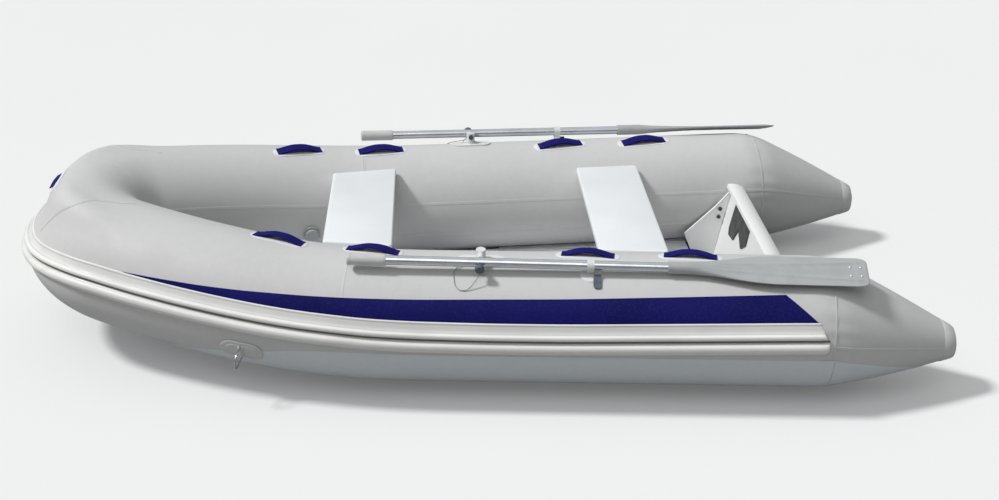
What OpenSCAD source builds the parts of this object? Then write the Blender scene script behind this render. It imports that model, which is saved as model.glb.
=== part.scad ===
// Inflatable tender: splayed side tubes, raised bow, solid transom, two bench seats
// and a pair of oars stowed along the tubes on pinned swivel rowlocks.
// +X points to the bow, +Y to port, +Z up. The origin is the point of the keel line on which it rests.

/* [Hull] */
// Overall length from the bow strake to the stern cone caps
loa = 3085; // [3060:5:3110]
// Outside diameter of the buoyancy tube
tube_d = 420; // [410:2:426]
// Half distance between the tube axes where the straight sides end
side_half = 482; // [470:1:496]
// Angle by which each side tube opens toward the stern
splay = 4.26; // [3.5:0.02:4.8]
// Angle through which each side turns before the bow bend starts
side_turn = 25.9; // [24:0.1:28]
// Radius of the bow bend, on the tube axis
bow_r = 270; // [256:1:280]
// Length of the curved side aft of the sheer seam
shoulder = 162; // [130:1:180]
// Angle by which the bow lifts from the sheer seam
sheer = 7.5; // [5:0.1:8]
// Length of the stern cones, without their caps
cone_len = 414; // [390:1:430]
// Drop of the cone end below the tube axis
cone_drop = 70; // [40:1:90]
// Radius of the small end of the stern cones
cone_end_r = 52; // [44:1:60]
// Height of the tube above the keel line
keel_drop = 35; // [30:1:45]

/* [Trim] */
// Height of the two ribs of the rub strake
rib_h = 17; // [12:1:20]
// Angle of the upper rib, measured from the top of the tube
rib_a = 81.5; // [79:0.5:84]
// Thickness of the stripe and of the bottom lap
skin_t = 1.2; // [1:0.1:1.6]

/* [Seats and floor] */
// Width of the seat boards
seat_w = 228; // [200:1:240]
// Thickness of the seat boards
seat_t = 24; // [18:1:28]
// Height of the front seat top above the tube axis
front_seat_h = 185; // [172:1:188]
// Height of the rear seat top above the tube axis
rear_seat_h = 168; // [156:1:174]
// Thickness of the floor boards
floor_t = 12; // [9:1:14]

/* [Transom] */
// Thickness of the transom board
board_t = 38; // [32:1:42]
// Angle by which the transom leans aft
rake = 12; // [8:0.5:15]
// Height of the transom top above the tube axis
transom_h = 90; // [70:1:100]

/* [Oars] */
// Length of the oars
oar_len = 1616; // [1560:2:1640]
// Diameter of the oar shaft
shaft_d = 30; // [28:1:34]
// Width of the oar blade at its end
blade_w = 116; // [96:2:124]
// Height of the rowlock pin above the tube
pin_h = 30; // [29:0.5:33]

/* [Hidden] */
$fn = 64;
gap = 0.3;
// Angle left open where the curved side meets the bow bend
slit = 0.004;
R = tube_d / 2;
axis_z = R + keel_drop;
// Plan of the tube axis: a straight splayed side, a wide arc and the bow bend
R1 = (side_half - bow_r * cos(side_turn)) / (cos(splay) - cos(side_turn));
arc_reach = R1 * (sin(side_turn) - sin(splay)) + bow_r * (1 - sin(side_turn)) - shoulder;
rib_r = R + rib_h;
nose = (arc_reach + rib_r * sin(rib_a + 10)) * cos(sheer) - rib_r * cos(rib_a + 10) * sin(sheer);
// Reach of the bow strake ahead of the origin, and of the cone caps behind it
bow_end = 1523;
stern_x = bow_end - loa;
seam_x = bow_end - nose;
side_x = seam_x - shoulder;
c1_x = side_x - R1 * sin(splay);
c1_y = side_half - R1 * cos(splay);
seam_q = asin(sin(splay) + shoulder / R1);
bend_x = side_x + R1 * (sin(side_turn) - sin(splay));
c2_x = bend_x - bow_r * sin(side_turn);
tip_x = c2_x + bow_r;
cap_t = 14;
cone_x = stern_x + cap_t + cone_len;
side_len = (side_x - cone_x) / cos(splay);
cone_y = side_half + tan(splay) * (side_x - cone_x);

// Axis half distance at a station, on the flat plan
function axis_y(x) = x < side_x ? side_half + tan(splay) * (side_x - x)
  : x < bend_x ? c1_y + sqrt(R1 * R1 - pow(x - c1_x, 2))
  : sqrt(max(0, bow_r * bow_r - pow(x - c2_x, 2)));
// Heading of the axis at a station, toward the centre line
function heading(x) = x < side_x ? splay : asin((x - c1_x) / R1);
// Inner face of the tube at a station and height from the axis
function inner_y(x, h) = axis_y(x) - sqrt(R * R - h * h) / cos(heading(x));

// Places along the hull
handle_x = [625, 312, -377, -703];
handle_a = -6;
row_x = -34;
row_a = 7.5;
hold_x = -376;
valve_x = 602;
side_valve_x = -535;
ring_x = 669;
ring_a = 116.5;
front_seat_x = 251;
rear_seat_x = -652;
floor_z = 84;
board_z = 12;
board_top = axis_z + transom_h;
board_l = (board_top - board_z) / cos(rake);
board_x = -1017 + (board_top - board_z) * tan(rake);

// Frames
module lift() translate([0, 0, axis_z]) children();
module bow_up() translate([seam_x, 0, axis_z]) rotate([0, -sheer, 0]) translate([-seam_x, 0, 0])
  children();
module side_frame() translate([side_x, side_half, axis_z]) rotate([0, 0, -splay]) children();
module both() { children(); mirror([0, 1, 0]) children(); }
// A place on the port side tube: x is its station, a its angle outboard of the top
module on_side(x, a, h = 0)
  lift() translate([x, axis_y(x), 0]) rotate([-a, 0, -heading(x)]) translate([0, 0, R + h]) children();
// The same on the raised bow part of the port tube
module on_bow(x, a, h = 0)
  bow_up() translate([x, axis_y(x), 0]) rotate([-a, 0, -heading(x)]) translate([0, 0, R + h]) children();

// Sweeps of a profile drawn in the tube section, x outboard and y up
module straight(l) translate([-l, 0, 0]) rotate([90, 0, 90]) linear_extrude(l) children();
module side_arc(q0, q1) translate([c1_x, c1_y, 0]) rotate([0, 0, 90 - q1])
  rotate_extrude(angle = q1 - q0, $fn = 720)
  translate([R1, 0]) children();
module bend() translate([c2_x, 0, 0]) rotate([0, 0, side_turn - 90])
  rotate_extrude(angle = 180 - 2 * side_turn, $fn = 240)
  translate([bow_r, 0]) children();
// Half spaces either side of the sheer seam
module aft_of_seam(d = 0) translate([seam_x, 0, axis_z]) rotate([0, -sheer / 2, 0])
  translate([-3000 - d, -1500, -1500]) cube([3000, 3000, 3000]);
module fore_of_seam(d = 0) translate([seam_x, 0, axis_z]) rotate([0, -sheer / 2, 0])
  translate([d, -1500, -1500]) cube([3000, 3000, 3000]);
// The level curved side up to the sheer seam, and the raised one from there on
module level_side(d = 0, q = splay) intersection() {
  lift() side_arc(q, seam_q + 0.9) children();
  aft_of_seam(d);
}
module raised_side(d = 0) intersection() {
  bow_up() side_arc(seam_q - 0.9, side_turn - slit) children();
  fore_of_seam(d);
}
// Ring sector of the tube section between two angles from the top
module sector(r0, r1, a0, a1) intersection() {
  difference() {
    circle(r = r1, $fn = 128);
    circle(r = r0, $fn = 128);
  }
  polygon([[0, 0], [600 * sin(a0), 600 * cos(a0)], [600 * sin(a1), 600 * cos(a1)]]);
}
module tube_round() circle(r = R, $fn = 96);

// Buoyancy tube
module port_tube_shape() {
  side_frame() straight(side_len) tube_round();
  level_side(1) tube_round();
}
module port_tube() color("gainsboro") port_tube_shape();
module starboard_tube() color("gainsboro") mirror([0, 1, 0]) port_tube_shape();
module bow_tube() color("gainsboro") {
  both() raised_side(1) tube_round();
  bow_up() bend() tube_round();
}
module baffles() color("whitesmoke") both() intersection() {
  lift() side_arc(seam_q - 1.5, seam_q + 1.5) circle(r = R - 1.5);
  translate([seam_x, 0, axis_z]) rotate([0, -sheer / 2, 0]) translate([-0.7, -1500, -1500])
    cube([1.4, 3000, 3000]);
}

// Stern cones, drawn down toward a small rounded cap
module cone_shape() hull() {
  side_frame() translate([-side_len - 0.6, 0, 0]) rotate([0, 90, 0]) cylinder(r = R, h = 0.3, $fn = 64);
  translate([stern_x + cap_t + 0.4, cone_y + 26, axis_z - cone_drop]) rotate([0, 90, 0])
    cylinder(r = cone_end_r, h = 0.4, $fn = 64);
}
module port_cone() color("gainsboro") cone_shape();
module starboard_cone() color("gainsboro") mirror([0, 1, 0]) cone_shape();
module cone_cap_shape() translate([stern_x + cap_t, cone_y + 26, axis_z - cone_drop]) rotate([0, -90, 0])
  rotate_extrude() intersection() {
    translate([0, -53]) circle(r = 67, $fn = 96);
    square([cone_end_r - 1, cap_t]);
  }
module port_cone_cap() color("silver") cone_cap_shape();
module starboard_cone_cap() color("silver") mirror([0, 1, 0]) cone_cap_shape();

// Rub strake: one extruded strip with a wide flat and two round ribs
module strake_profile() {
  sector(R + gap, R + 4, 69, 97.5);
  for (a = [rib_a, rib_a + 10]) rotate(-a) translate([0, R + rib_h / 2 + 1])
    circle(d = rib_h - 2, $fn = 48);
}
module rub_strake() color("floralwhite") {
  both() {
    difference() {
      side_frame() straight(side_len - 24) strake_profile();
      side_frame() translate([-side_len + 40, R, 0]) rotate([0, -28, 0])
        translate([-300, -300, -300]) cube([300, 600, 600]);
    }
    level_side(gap / 2, splay + slit) strake_profile();
    raised_side(gap / 2) strake_profile();
  }
  bow_up() bend() strake_profile();
}

// Painted stripe above the strake, bare, tapering to a point at the bow
module stripe_profile() sector(R + gap, R + gap + skin_t, 38, 67.6);
module stripe_edge() translate([seam_x, 0, axis_z + 131]) rotate([0, 1.22, 0])
  translate([-3000, -1500, -900]) cube([3100, 3000, 900]);
module stripe_shape() {
  difference() {
    intersection() {
      side_frame() straight(side_len - 20) stripe_profile();
      stripe_edge();
    }
    side_frame() translate([-side_len + 110, R, 114]) rotate([0, 46, 0])
      translate([-300, -300, -300]) cube([300, 600, 600]);
  }
  intersection() {
    level_side() stripe_profile();
    stripe_edge();
  }
  intersection() {
    raised_side() stripe_profile();
    bow_up() translate([seam_x, 0, 131]) rotate([0, 4.25, 0]) translate([-100, -1500, -900])
      cube([3000, 3000, 900]);
  }
}
module port_stripe() color("midnightblue") stripe_shape();
module starboard_stripe() color("midnightblue") mirror([0, 1, 0]) stripe_shape();

// Bottom: a lap glued round the underside of the tube, and the sheet with its shallow keel
module lap_profile() sector(R + gap, R + gap + skin_t, 102.5, 176);
module lap_edge() bow_up() translate([seam_x, 0, -46]) rotate([0, 13, 0])
  translate([-100, -1500, -900]) cube([3000, 3000, 900]);
module bottom_lap() color("slategray") {
  both() {
    side_frame() straight(side_len - 2) lap_profile();
    level_side() lap_profile();
    intersection() {
      raised_side() lap_profile();
      lap_edge();
    }
  }
  intersection() {
    bow_up() bend() lap_profile();
    lap_edge();
  }
}
sheet_r = R + gap + skin_t + 1;
sheet_n = 12;
sheet_t = 3;
sheet_x0 = board_x - 50;
// Stations: two on the level run, then along the raised bow
sheet_q = seam_x - sheet_r * tan(sheer);
function bow_q(k) = sheet_q + (tip_x - 40 - sheet_q) * k / sheet_n;
function sheet_x(k) = k < 0 ? sheet_x0 : seam_x + (bow_q(k) - seam_x) * cos(sheer) + sheet_r * sin(sheer);
function sheet_y(k) = k < 0 ? axis_y(sheet_x0) + 12 : axis_y(bow_q(k)) + 12 * (1 - k / sheet_n);
function chine_z(k) = k < 0 ? axis_z - sheet_r
  : axis_z + (bow_q(k) - seam_x) * sin(sheer) - sheet_r * cos(sheer);
function keel_z(k) = k < 0 ? 0 : (chine_z(sheet_n) - 9) * k / sheet_n;
function keel_w(k) = k < 0 ? 100 : min(100, sheet_y(k) * 0.6);
function sheet_ring(k) = let (x = sheet_x(k), y = sheet_y(k), z = chine_z(k), w = keel_w(k), b = keel_z(k))
  [[x, -y, z - sheet_t], [x, -w, b], [x, w, b], [x, y, z - sheet_t],
    [x, y, z], [x, w, b + sheet_t], [x, -w, b + sheet_t], [x, -y, z]];
module bottom_sheet() color("slategray") {
  rows = [for (k = [-1 : sheet_n]) sheet_ring(k)];
  n = len(rows);
  polyhedron(
    points = [for (r = rows) each r],
    faces = concat(
      [[for (i = [7 : -1 : 0]) i]],
      [for (j = [0 : n - 2], i = [0 : 7]) [j * 8 + i, j * 8 + (i + 1) % 8, j * 8 + 8 + (i + 1) % 8]],
      [for (j = [0 : n - 2], i = [0 : 7]) [j * 8 + i, j * 8 + 8 + (i + 1) % 8, j * 8 + 8 + i]],
      [[for (i = [0 : 7]) (n - 1) * 8 + i]]));
}
module keel_tube() color("gray") translate([board_x + 40, 0, floor_z / 2 + 1.5]) rotate([0, 90, 0]) {
  cylinder(r = floor_z / 2 - 2, h = seam_x - board_x - 90);
  translate([0, 0, seam_x - board_x - 90]) sphere(r = floor_z / 2 - 2);
}

// Floor boards, cut to the inside of the tubes, with side stringers
floor_in = sqrt(R * R - pow(floor_z + floor_t - axis_z, 2)) + 14;
function floor_edge(x) = inner_y(x, floor_z + floor_t - axis_z - max(0, x - seam_x) * tan(sheer)) - 14;
module floor_board(x0, x1) translate([0, 0, floor_z]) linear_extrude(floor_t)
  polygon(concat([for (k = [0 : 6]) let (x = x0 + (x1 - x0) * k / 6) [x, floor_edge(x)]],
    [for (k = [6 : -1 : 0]) let (x = x0 + (x1 - x0) * k / 6) [x, -floor_edge(x)]]));
module floor_aft() color("burlywood") floor_board(board_x + 92, -480);
module floor_middle() color("burlywood") floor_board(-477, -40);
module floor_front() color("burlywood") floor_board(-37, seam_x);
module floor_bow() color("burlywood") floor_board(seam_x + 3, seam_x + 400);
module stringers() color("silver") both() side_frame()
  translate([(board_x + 110 - side_x) / cos(splay), -floor_in, floor_z - 4 - axis_z]) difference() {
    translate([0, -16, 0]) cube([720, 22, floor_t + 8]);
    translate([-1, -17, 3.7]) cube([722, 17.3, floor_t + 0.6]);
  }

// Bench seats on chocks
seat_gap = 4;
function seat_y(x, h) = inner_y(x, h - seat_t - max(0, x - seam_x) * tan(sheer)) - seat_gap;
module seat_shape(x, h) translate([0, 0, axis_z + h - seat_t]) linear_extrude(seat_t) {
  y0 = seat_y(x, h);
  y1 = seat_y(x + seat_w, h);
  offset(r = 8, $fn = 24) offset(delta = -8)
    polygon([[x, y0], [x + seat_w, y1], [x + seat_w, -y1], [x, -y0]]);
}
module seat_chock(x, h) difference() {
  translate([x + 30, inner_y(x + seat_w, h - seat_t) - 46, axis_z + h - seat_t - 46])
    cube([seat_w - 60, 90, 45.6]);
  side_frame() straight(side_len) circle(r = R + 0.6);
  level_side(-12) circle(r = R + 0.6);
  bow_up() side_arc(seam_q - 0.9, side_turn) circle(r = R + 0.6);
  translate([x, inner_y(x + seat_w, h - seat_t) - 46, axis_z + h - seat_t - 46]) rotate([45, 0, 0])
    translate([0, -60, -60]) cube([seat_w, 120, 60]);
}
module front_seat() color("aliceblue") seat_shape(front_seat_x, front_seat_h);
module rear_seat() color("aliceblue") seat_shape(rear_seat_x, rear_seat_h);
module front_seat_chocks() color("lightgray") both() seat_chock(front_seat_x, front_seat_h);
module rear_seat_chocks() color("lightgray") both() seat_chock(rear_seat_x, rear_seat_h);

// Transom, cut to the tubes, with a cap, clamp pads, knees and a drain
module transom_frame() translate([board_x, 0, board_z]) rotate([0, -rake, 0]) children();
module side_bore(r) both() side_frame() translate([-side_len, 0, 0]) rotate([0, 90, 0])
  cylinder(r = r, h = side_len, $fn = 128);
module transom_board() color("white") difference() {
  transom_frame() translate([-board_t, 0, 0]) rotate([90, 0, 90]) linear_extrude(board_t)
    polygon([[-100, -0.4], [100, -0.4], [400, 18.4], [430, board_l - 8], [-430, board_l - 8], [-400, 18.4]]);
  side_bore(R + 1.5);
  transom_frame() translate([-board_t - 1, -250, 46]) rotate([0, 90, 0])
    cylinder(d = 32.6, h = board_t + 2);
}
module cap_profile() difference() {
  translate([-board_t / 2, 0]) {
    translate([-31, -16]) square([62, 12]);
    intersection() {
      translate([-31, -8]) square([62, 10]);
      translate([0, -80]) circle(r = 82, $fn = 128);
    }
  }
  translate([-board_t - 0.4, -40]) square([board_t + 0.8, 32.4]);
}
module transom_cap() color("white") difference() {
  transom_frame() translate([0, 430, board_l]) rotate([90, 0, 0]) linear_extrude(860) cap_profile();
  side_bore(R + 1.5);
}
module pad_outline() polygon([[-234, 212], [-234, 306], [-40, 311], [4, 306], [12, 246], [-34, 214],
  [-118, 252], [-150, 196], [-218, 190]]);
module inner_motor_pad() color("dimgray") transom_frame() translate([gap, 0, 0]) rotate([90, 0, 90])
  linear_extrude(5) pad_outline();
module outer_motor_pad() color("dimgray") transom_frame() translate([-board_t - gap - 6, 0, 0])
  rotate([90, 0, 90])
  linear_extrude(6) polygon([[-150, 120], [150, 120], [170, 292], [-170, 292]]);
knee_y = inner_y(-960, 0) - 12;
knee_holes = [[-973, 6], [-969, -26]];
// Back edge of the knee at a height from the tube axis, just clear of the board
function knee_back(h) = board_x + 1.5 - (h + axis_z - board_z) * tan(rake);
module knee_shape() translate([0, knee_y, axis_z]) rotate([90, 0, 0]) difference() {
  linear_extrude(9)
    polygon([[knee_back(62), 62], [-1003, 71], [-955, 14], [-842, -96], [-872, -170],
      [knee_back(-190), -190]]);
  for (p = knee_holes) translate([p[0], p[1], -1]) cylinder(d = 8.4, h = 12);
}
module port_knee() color("white") knee_shape();
module starboard_knee() color("white") mirror([0, 1, 0]) knee_shape();
module knee_bolts() color("black") both() for (p = knee_holes)
  translate([p[0], knee_y, axis_z + p[1]]) rotate([90, 0, 0]) {
    translate([0, 0, 0.4]) cylinder(d = 8, h = 9);
    translate([0, 0, 9.3]) cylinder(d = 15, h = 5, $fn = 48);
  }
module drain_plug() color("dimgray") transom_frame() translate([0, -250, 46]) rotate([0, 90, 0]) {
  translate([0, 0, -board_t - 5]) difference() {
    union() {
      cylinder(d = 32, h = board_t + 6);
      cylinder(d = 46, h = 4.7);
    }
    translate([0, 0, -1]) cylinder(d = 24, h = 12);
  }
  translate([0, 0, gap]) cylinder(d = 48, h = 6);
  translate([-17, -3, 5]) cube([34, 6, 9]);
}

// Lifting handles: an arched strap on a glued pad
strap_r = 338;
strap_rise = 14;
strap_t = 4;
module strap_arch(w) rotate([90, 0, 0]) translate([0, 0, -w / 2]) linear_extrude(w) intersection() {
  translate([0, strap_rise - strap_r]) difference() {
    circle(r = strap_r, $fn = 360);
    circle(r = strap_r - strap_t, $fn = 360);
  }
  translate([-110, 1]) square([220, 60]);
}
module handle(x) {
  if (x > seam_x) on_bow(x, handle_a, 2.3) strap_arch(34);
  else on_side(x, handle_a, 2.3) strap_arch(34);
}
module handle_set() for (x = handle_x) handle(x);
module port_handles() color("midnightblue") handle_set();
module starboard_handles() color("midnightblue") mirror([0, 1, 0]) handle_set();
module bow_handle_frame() bow_up() translate([tip_x, 0, 0]) rotate([0, 36, 0]) translate([0, 0, R])
  rotate([0, 0, 90]) children();
bow_strap_r = 128;
bow_strap_rise = 13;
module bow_strap() intersection() {
  rotate([90, 0, 0]) translate([0, bow_strap_rise - bow_strap_r, -16]) linear_extrude(32) difference() {
    circle(r = bow_strap_r, $fn = 128);
    circle(r = bow_strap_r - strap_t, $fn = 128);
  }
  translate([-90, -30, 2.1]) cube([180, 60, 60]);
}
module bow_handle() color("midnightblue") bow_handle_frame() bow_strap();
module pad_plan(l, w) {
  square([l - w, w], center = true);
  for (s = [-1, 1]) translate([s * (l - w) / 2, 0]) circle(d = w, $fn = 48);
}
module handle_patch() sector(R + gap, R + 3, -30, 20);
module handle_pads() color("whitesmoke") {
  both() for (x = handle_x) {
    if (x > seam_x) intersection() {
      bow_up() side_arc(seam_q + 0.2, side_turn) handle_patch();
      on_bow(x, handle_a, -20) linear_extrude(60) pad_plan(206, 62);
    }
    else {
      intersection() {
        side_frame() straight(side_len) handle_patch();
        on_side(x, handle_a, -20) linear_extrude(60) pad_plan(206, 62);
      }
      if (x + 110 > side_x) intersection() {
        lift() side_arc(splay + slit, seam_q) handle_patch();
        on_side(x, handle_a, -20) linear_extrude(60) pad_plan(206, 62);
      }
    }
  }
  intersection() {
    bow_up() bend() sector(R + gap, R + 3, 10, 62);
    bow_handle_frame() translate([0, 0, -30]) linear_extrude(60) pad_plan(130, 56);
  }
}

// Swivel rowlock: a glued base with spread legs, a swivel head and a cross pin
head_d = 30;
shaft_off = 58;
row_h = pin_h;
module row_frame() on_side(row_x, row_a) children();
module base_shape() {
  difference() {
    union() {
      intersection() {
        side_frame() straight(side_len) sector(R + gap, R + 5, -20, 30);
        row_frame() translate([0, 0, -30]) linear_extrude(60) pad_plan(150, 58);
      }
      row_frame() translate([0, 0, -1]) cylinder(d = 34, h = 14);
      row_frame() rotate([90, 0, 0]) translate([0, 0, -4]) linear_extrude(8)
        polygon([[-66, 0], [-14, 12], [14, 12], [66, 0], [60, -1], [-60, -1]]);
    }
    side_frame() translate([-side_len, 0, 0]) rotate([0, 90, 0])
      cylinder(r = R + gap, h = side_len, $fn = 128);
    row_frame() translate([0, 0, 3]) cylinder(d = 14.4, h = 30);
  }
}
module port_rowlock_base() color("gray") base_shape();
module starboard_rowlock_base() color("gray") mirror([0, 1, 0]) base_shape();
module swivel_shape() row_frame() difference() {
  union() {
    translate([0, 0, 3.5]) cylinder(d = 14, h = 14);
    translate([0, 0, 13.6]) cylinder(d = head_d, h = row_h + 12 - 13.6);
    translate([0, 0, row_h]) rotate([-90, 0, 0]) cylinder(d = 22, h = shaft_off - shaft_d / 2 - 1.5);
  }
  translate([0, -30, row_h]) rotate([-90, 0, 0]) cylinder(d = 10.3, h = 100);
}
module port_swivel() color("lightgray") swivel_shape();
module starboard_swivel() color("lightgray") mirror([0, 1, 0]) swivel_shape();
module pin_shape() row_frame() translate([0, 0, row_h]) rotate([-90, 0, 0]) {
  translate([0, 0, -16]) cylinder(d = 10, h = shaft_off + shaft_d / 2 + 30);
  translate([0, 0, -18]) cylinder(d = 18, h = 3);
  translate([0, 0, shaft_off + shaft_d / 2 + 1.5]) cylinder(d = 20, h = 5);
  translate([0, 0, shaft_off + shaft_d / 2 + 8]) rotate_extrude()
    polygon([[0, 0], [9, 0], [15, 12], [15, 20], [11, 24], [0, 24]]);
}
module port_pin() color("dimgray") pin_shape();
module starboard_pin() color("dimgray") mirror([0, 1, 0]) pin_shape();

// Oars: shaft pinned on the rowlock, sleeve grip, ribbed blade
oar_dip = 0.83;
grip_end = 414;
module oar_frame() row_frame() translate([0, shaft_off, row_h]) rotate([0, -oar_dip, 0]) children();
blade_l = 620;
shaft_aft = oar_len - grip_end - blade_l;
module shaft_shape() oar_frame() difference() {
  translate([-shaft_aft - 130, 0, 0]) rotate([0, 90, 0])
    cylinder(d = shaft_d, h = shaft_aft + 130 + grip_end - 20);
  translate([0, -40, 0]) rotate([-90, 0, 0]) cylinder(d = 10.4, h = 80);
}
module port_shaft() color("silver") shaft_shape();
module starboard_shaft() color("silver") mirror([0, 1, 0]) shaft_shape();
module grip_shape() oar_frame() translate([grip_end - 122, 0, 0]) rotate([0, 90, 0]) difference() {
  rotate_extrude()
    polygon([[0, 0], [17.6, 0], [19, 6], [19, 108], [20, 114], [19, 120], [15, 122], [0, 122]]);
  translate([0, 0, -1]) cylinder(d = shaft_d + 0.1, h = 103.2);
}
module port_grip() color("lightgray") grip_shape();
module starboard_grip() color("lightgray") mirror([0, 1, 0]) grip_shape();
blade_tilt = 16;
module blade_plan() polygon(concat(
  [for (k = [0 : 10]) let (t = k / 10) [-80 - t * 240, 21 + (blade_w / 2 - 21) * (1 - cos(180 * t)) / 2]],
  [[-590, blade_w / 2], [-612, blade_w / 2 - 6], [-620, blade_w / 2 - 20]],
  [[-620, 20 - blade_w / 2], [-612, 6 - blade_w / 2], [-590, -blade_w / 2]],
  [for (k = [10 : -1 : 0])
    let (t = k / 10) [-80 - t * 240, -21 - (blade_w / 2 - 21) * (1 - cos(180 * t)) / 2]]));
module blade_shape() oar_frame() translate([-shaft_aft, 0, 0]) rotate([-blade_tilt, 0, 0]) difference() {
  union() {
    translate([-132, 0, 0]) rotate([0, 90, 0]) cylinder(d = shaft_d + 8, h = 132);
    translate([0, 0, -4]) linear_extrude(8) blade_plan();
    for (s = [-1, 0, 1]) hull() {
      translate([-120, s * 10, 0]) rotate([0, 90, 0]) cylinder(d = 14, h = 1, $fn = 16);
      translate([-590, s * 36, 0]) rotate([0, 90, 0]) cylinder(d = 9, h = 1, $fn = 16);
    }
  }
  translate([-131, 0, 0]) rotate([0, 90, 0]) cylinder(d = shaft_d + 0.1, h = 140);
}
module port_blade() color("gray") blade_shape();
module starboard_blade() color("gray") mirror([0, 1, 0]) blade_shape();

// Oar holder: a glued pad and a strap round the shaft with its loose tail
hold_a = 21.4;
module hold_frame() on_side(hold_x, hold_a) children();
module holder_pad_shape() intersection() {
  side_frame() straight(side_len) sector(R + gap, R + 3, 5, 50);
  hold_frame() translate([0, 6, -30]) linear_extrude(60) circle(d = 66, $fn = 64);
}
module holder_pads() color("whitesmoke") both() holder_pad_shape();
// The shaft stands off the tube axis by hold_h in the direction hold_q at the holder
hold_back = (row_x - hold_x) / cos(splay);
hold_h = norm([shaft_off, R + row_h - hold_back * sin(oar_dip)]);
hold_q = atan2(shaft_off, R + row_h - hold_back * sin(oar_dip));
module strap_loop() difference() {
  union() {
    circle(d = shaft_d + 7);
    translate([-8, R + 3.3 - hold_h]) square([16, hold_h - R - 14]);
  }
  circle(d = shaft_d + 1);
}
module holder_strap_shape() oar_frame() translate([-hold_back, 0, 0]) rotate([-hold_q, 0, 0])
  rotate([90, 0, 90])
  translate([0, 0, -11]) linear_extrude(22) strap_loop();
module port_holder_strap() color("whitesmoke") holder_strap_shape();
module starboard_holder_strap() color("whitesmoke") mirror([0, 1, 0]) holder_strap_shape();

// Lanyard that keeps the knob: a thin cord swept along its route in the rowlock frame
cord_r = 1.5;
cord_route = [[0, 97, 13.2], [6, 104, 4], [16, 110, -10], [30, 116, -26], [46, 120, -34],
  [62, 118, -33], [74, 108, -27], [80, 92, -18.5], [82, 74, -11], [80, 56, -5], [70, 40, 2],
  [56, 32, 6], [40, 24, 10], [26, 15, 14], [13.3, 7.7, 17]];
function unit(v) = v / norm(v);
function cord_t(k) = let (n = len(cord_route) - 1)
  unit(cord_route[min(k + 1, n)] - cord_route[max(k - 1, 0)]);
function cord_ring(k) = let (t = cord_t(k), u = unit(cross(t, [0, 0, 1])), v = cross(u, t))
  [for (i = [0 : 7]) cord_route[k] + cord_r * (u * cos(45 * i) + v * sin(45 * i))];
module cord_shape() row_frame() {
  n = len(cord_route);
  polyhedron(
    points = [for (k = [0 : n - 1]) each cord_ring(k)],
    faces = concat(
      [[for (i = [0 : 7]) i]],
      [for (k = [0 : n - 2], i = [0 : 7]) [k * 8 + i, k * 8 + 8 + (i + 1) % 8, k * 8 + (i + 1) % 8]],
      [for (k = [0 : n - 2], i = [0 : 7]) [k * 8 + i, k * 8 + 8 + i, k * 8 + 8 + (i + 1) % 8]],
      [[for (i = [7 : -1 : 0]) (n - 1) * 8 + i]]));
}
module port_lanyard() color("lightgray") cord_shape();
module starboard_lanyard() color("lightgray") mirror([0, 1, 0]) cord_shape();

// Towing rings: a glued oval patch with a sleeve across it, and a ring that swings in the sleeve
ring_h = 9;
ring_d = 6;
ring_r = 27;
ring_leg = 30;
sleeve_l = 44;
module ring_frame() on_bow(ring_x, ring_a) rotate([0, 0, 90]) children();
module ring_patch_shape() difference() {
  union() {
    intersection() {
      bow_up() side_arc(seam_q + 1, side_turn) sector(R + gap + skin_t + gap, R + 5, 92, 140);
      on_bow(ring_x, ring_a, -30) linear_extrude(60) pad_plan(132, 76);
    }
    ring_frame() translate([-sleeve_l / 2, 0, ring_h]) rotate([0, 90, 0]) cylinder(d = 14, h = sleeve_l);
    ring_frame() translate([-sleeve_l / 2, -7, 3]) cube([sleeve_l, 14, 6]);
  }
  ring_frame() translate([-sleeve_l, 0, ring_h]) rotate([0, 90, 0])
    cylinder(d = ring_d + 0.7, h = 2 * sleeve_l);
}
module ring_patches() color("gainsboro") both() ring_patch_shape();
module ring_shape() ring_frame() translate([0, 0, ring_h]) rotate([-90, 0, 0]) {
  translate([-ring_r - 3, 0, 0]) rotate([0, 90, 0]) cylinder(d = ring_d, h = 2 * ring_r + 6);
  for (s = [-1, 1]) translate([s * ring_r, 0, 0]) rotate([90, 0, 0]) cylinder(d = ring_d, h = ring_leg);
  translate([0, -ring_leg, 0]) rotate([0, 0, 180]) rotate_extrude(angle = 180) translate([ring_r, 0])
    circle(d = ring_d, $fn = 32);
}
module port_ring() color("silver") ring_shape();
module starboard_ring() color("silver") mirror([0, 1, 0]) ring_shape();

// Inflation valves, one for each air chamber
module valve_body() difference() {
  union() {
    translate([0, 0, -2]) cylinder(d = 62, h = 6);
    cylinder(d = 46, h = 8);
  }
  translate([0, 0, 2]) cylinder(d = 30, h = 10);
}
module valve_lid() {
  translate([0, 0, 8.4]) difference() {
    cylinder(d = 50, h = 7);
    for (k = [0 : 5]) rotate([0, 0, 60 * k]) translate([27, 0, -1]) cylinder(d = 10, h = 12, $fn = 32);
  }
  translate([0, 0, 2.4]) cylinder(d = 29, h = 7);
}
module bow_valve_frame() mirror([0, 1, 0]) on_bow(valve_x, -101, 3) children();
module side_valve_frame() on_side(side_valve_x, -95, 3) children();
module valve_bodies() color("darkgray") {
  bow_valve_frame() valve_body();
  both() side_valve_frame() valve_body();
}
module port_valve_cap() color("gray") side_valve_frame() valve_lid();
module starboard_valve_cap() color("gray") mirror([0, 1, 0]) side_valve_frame() valve_lid();
module bow_valve_cap() color("gray") bow_valve_frame() valve_lid();

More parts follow.
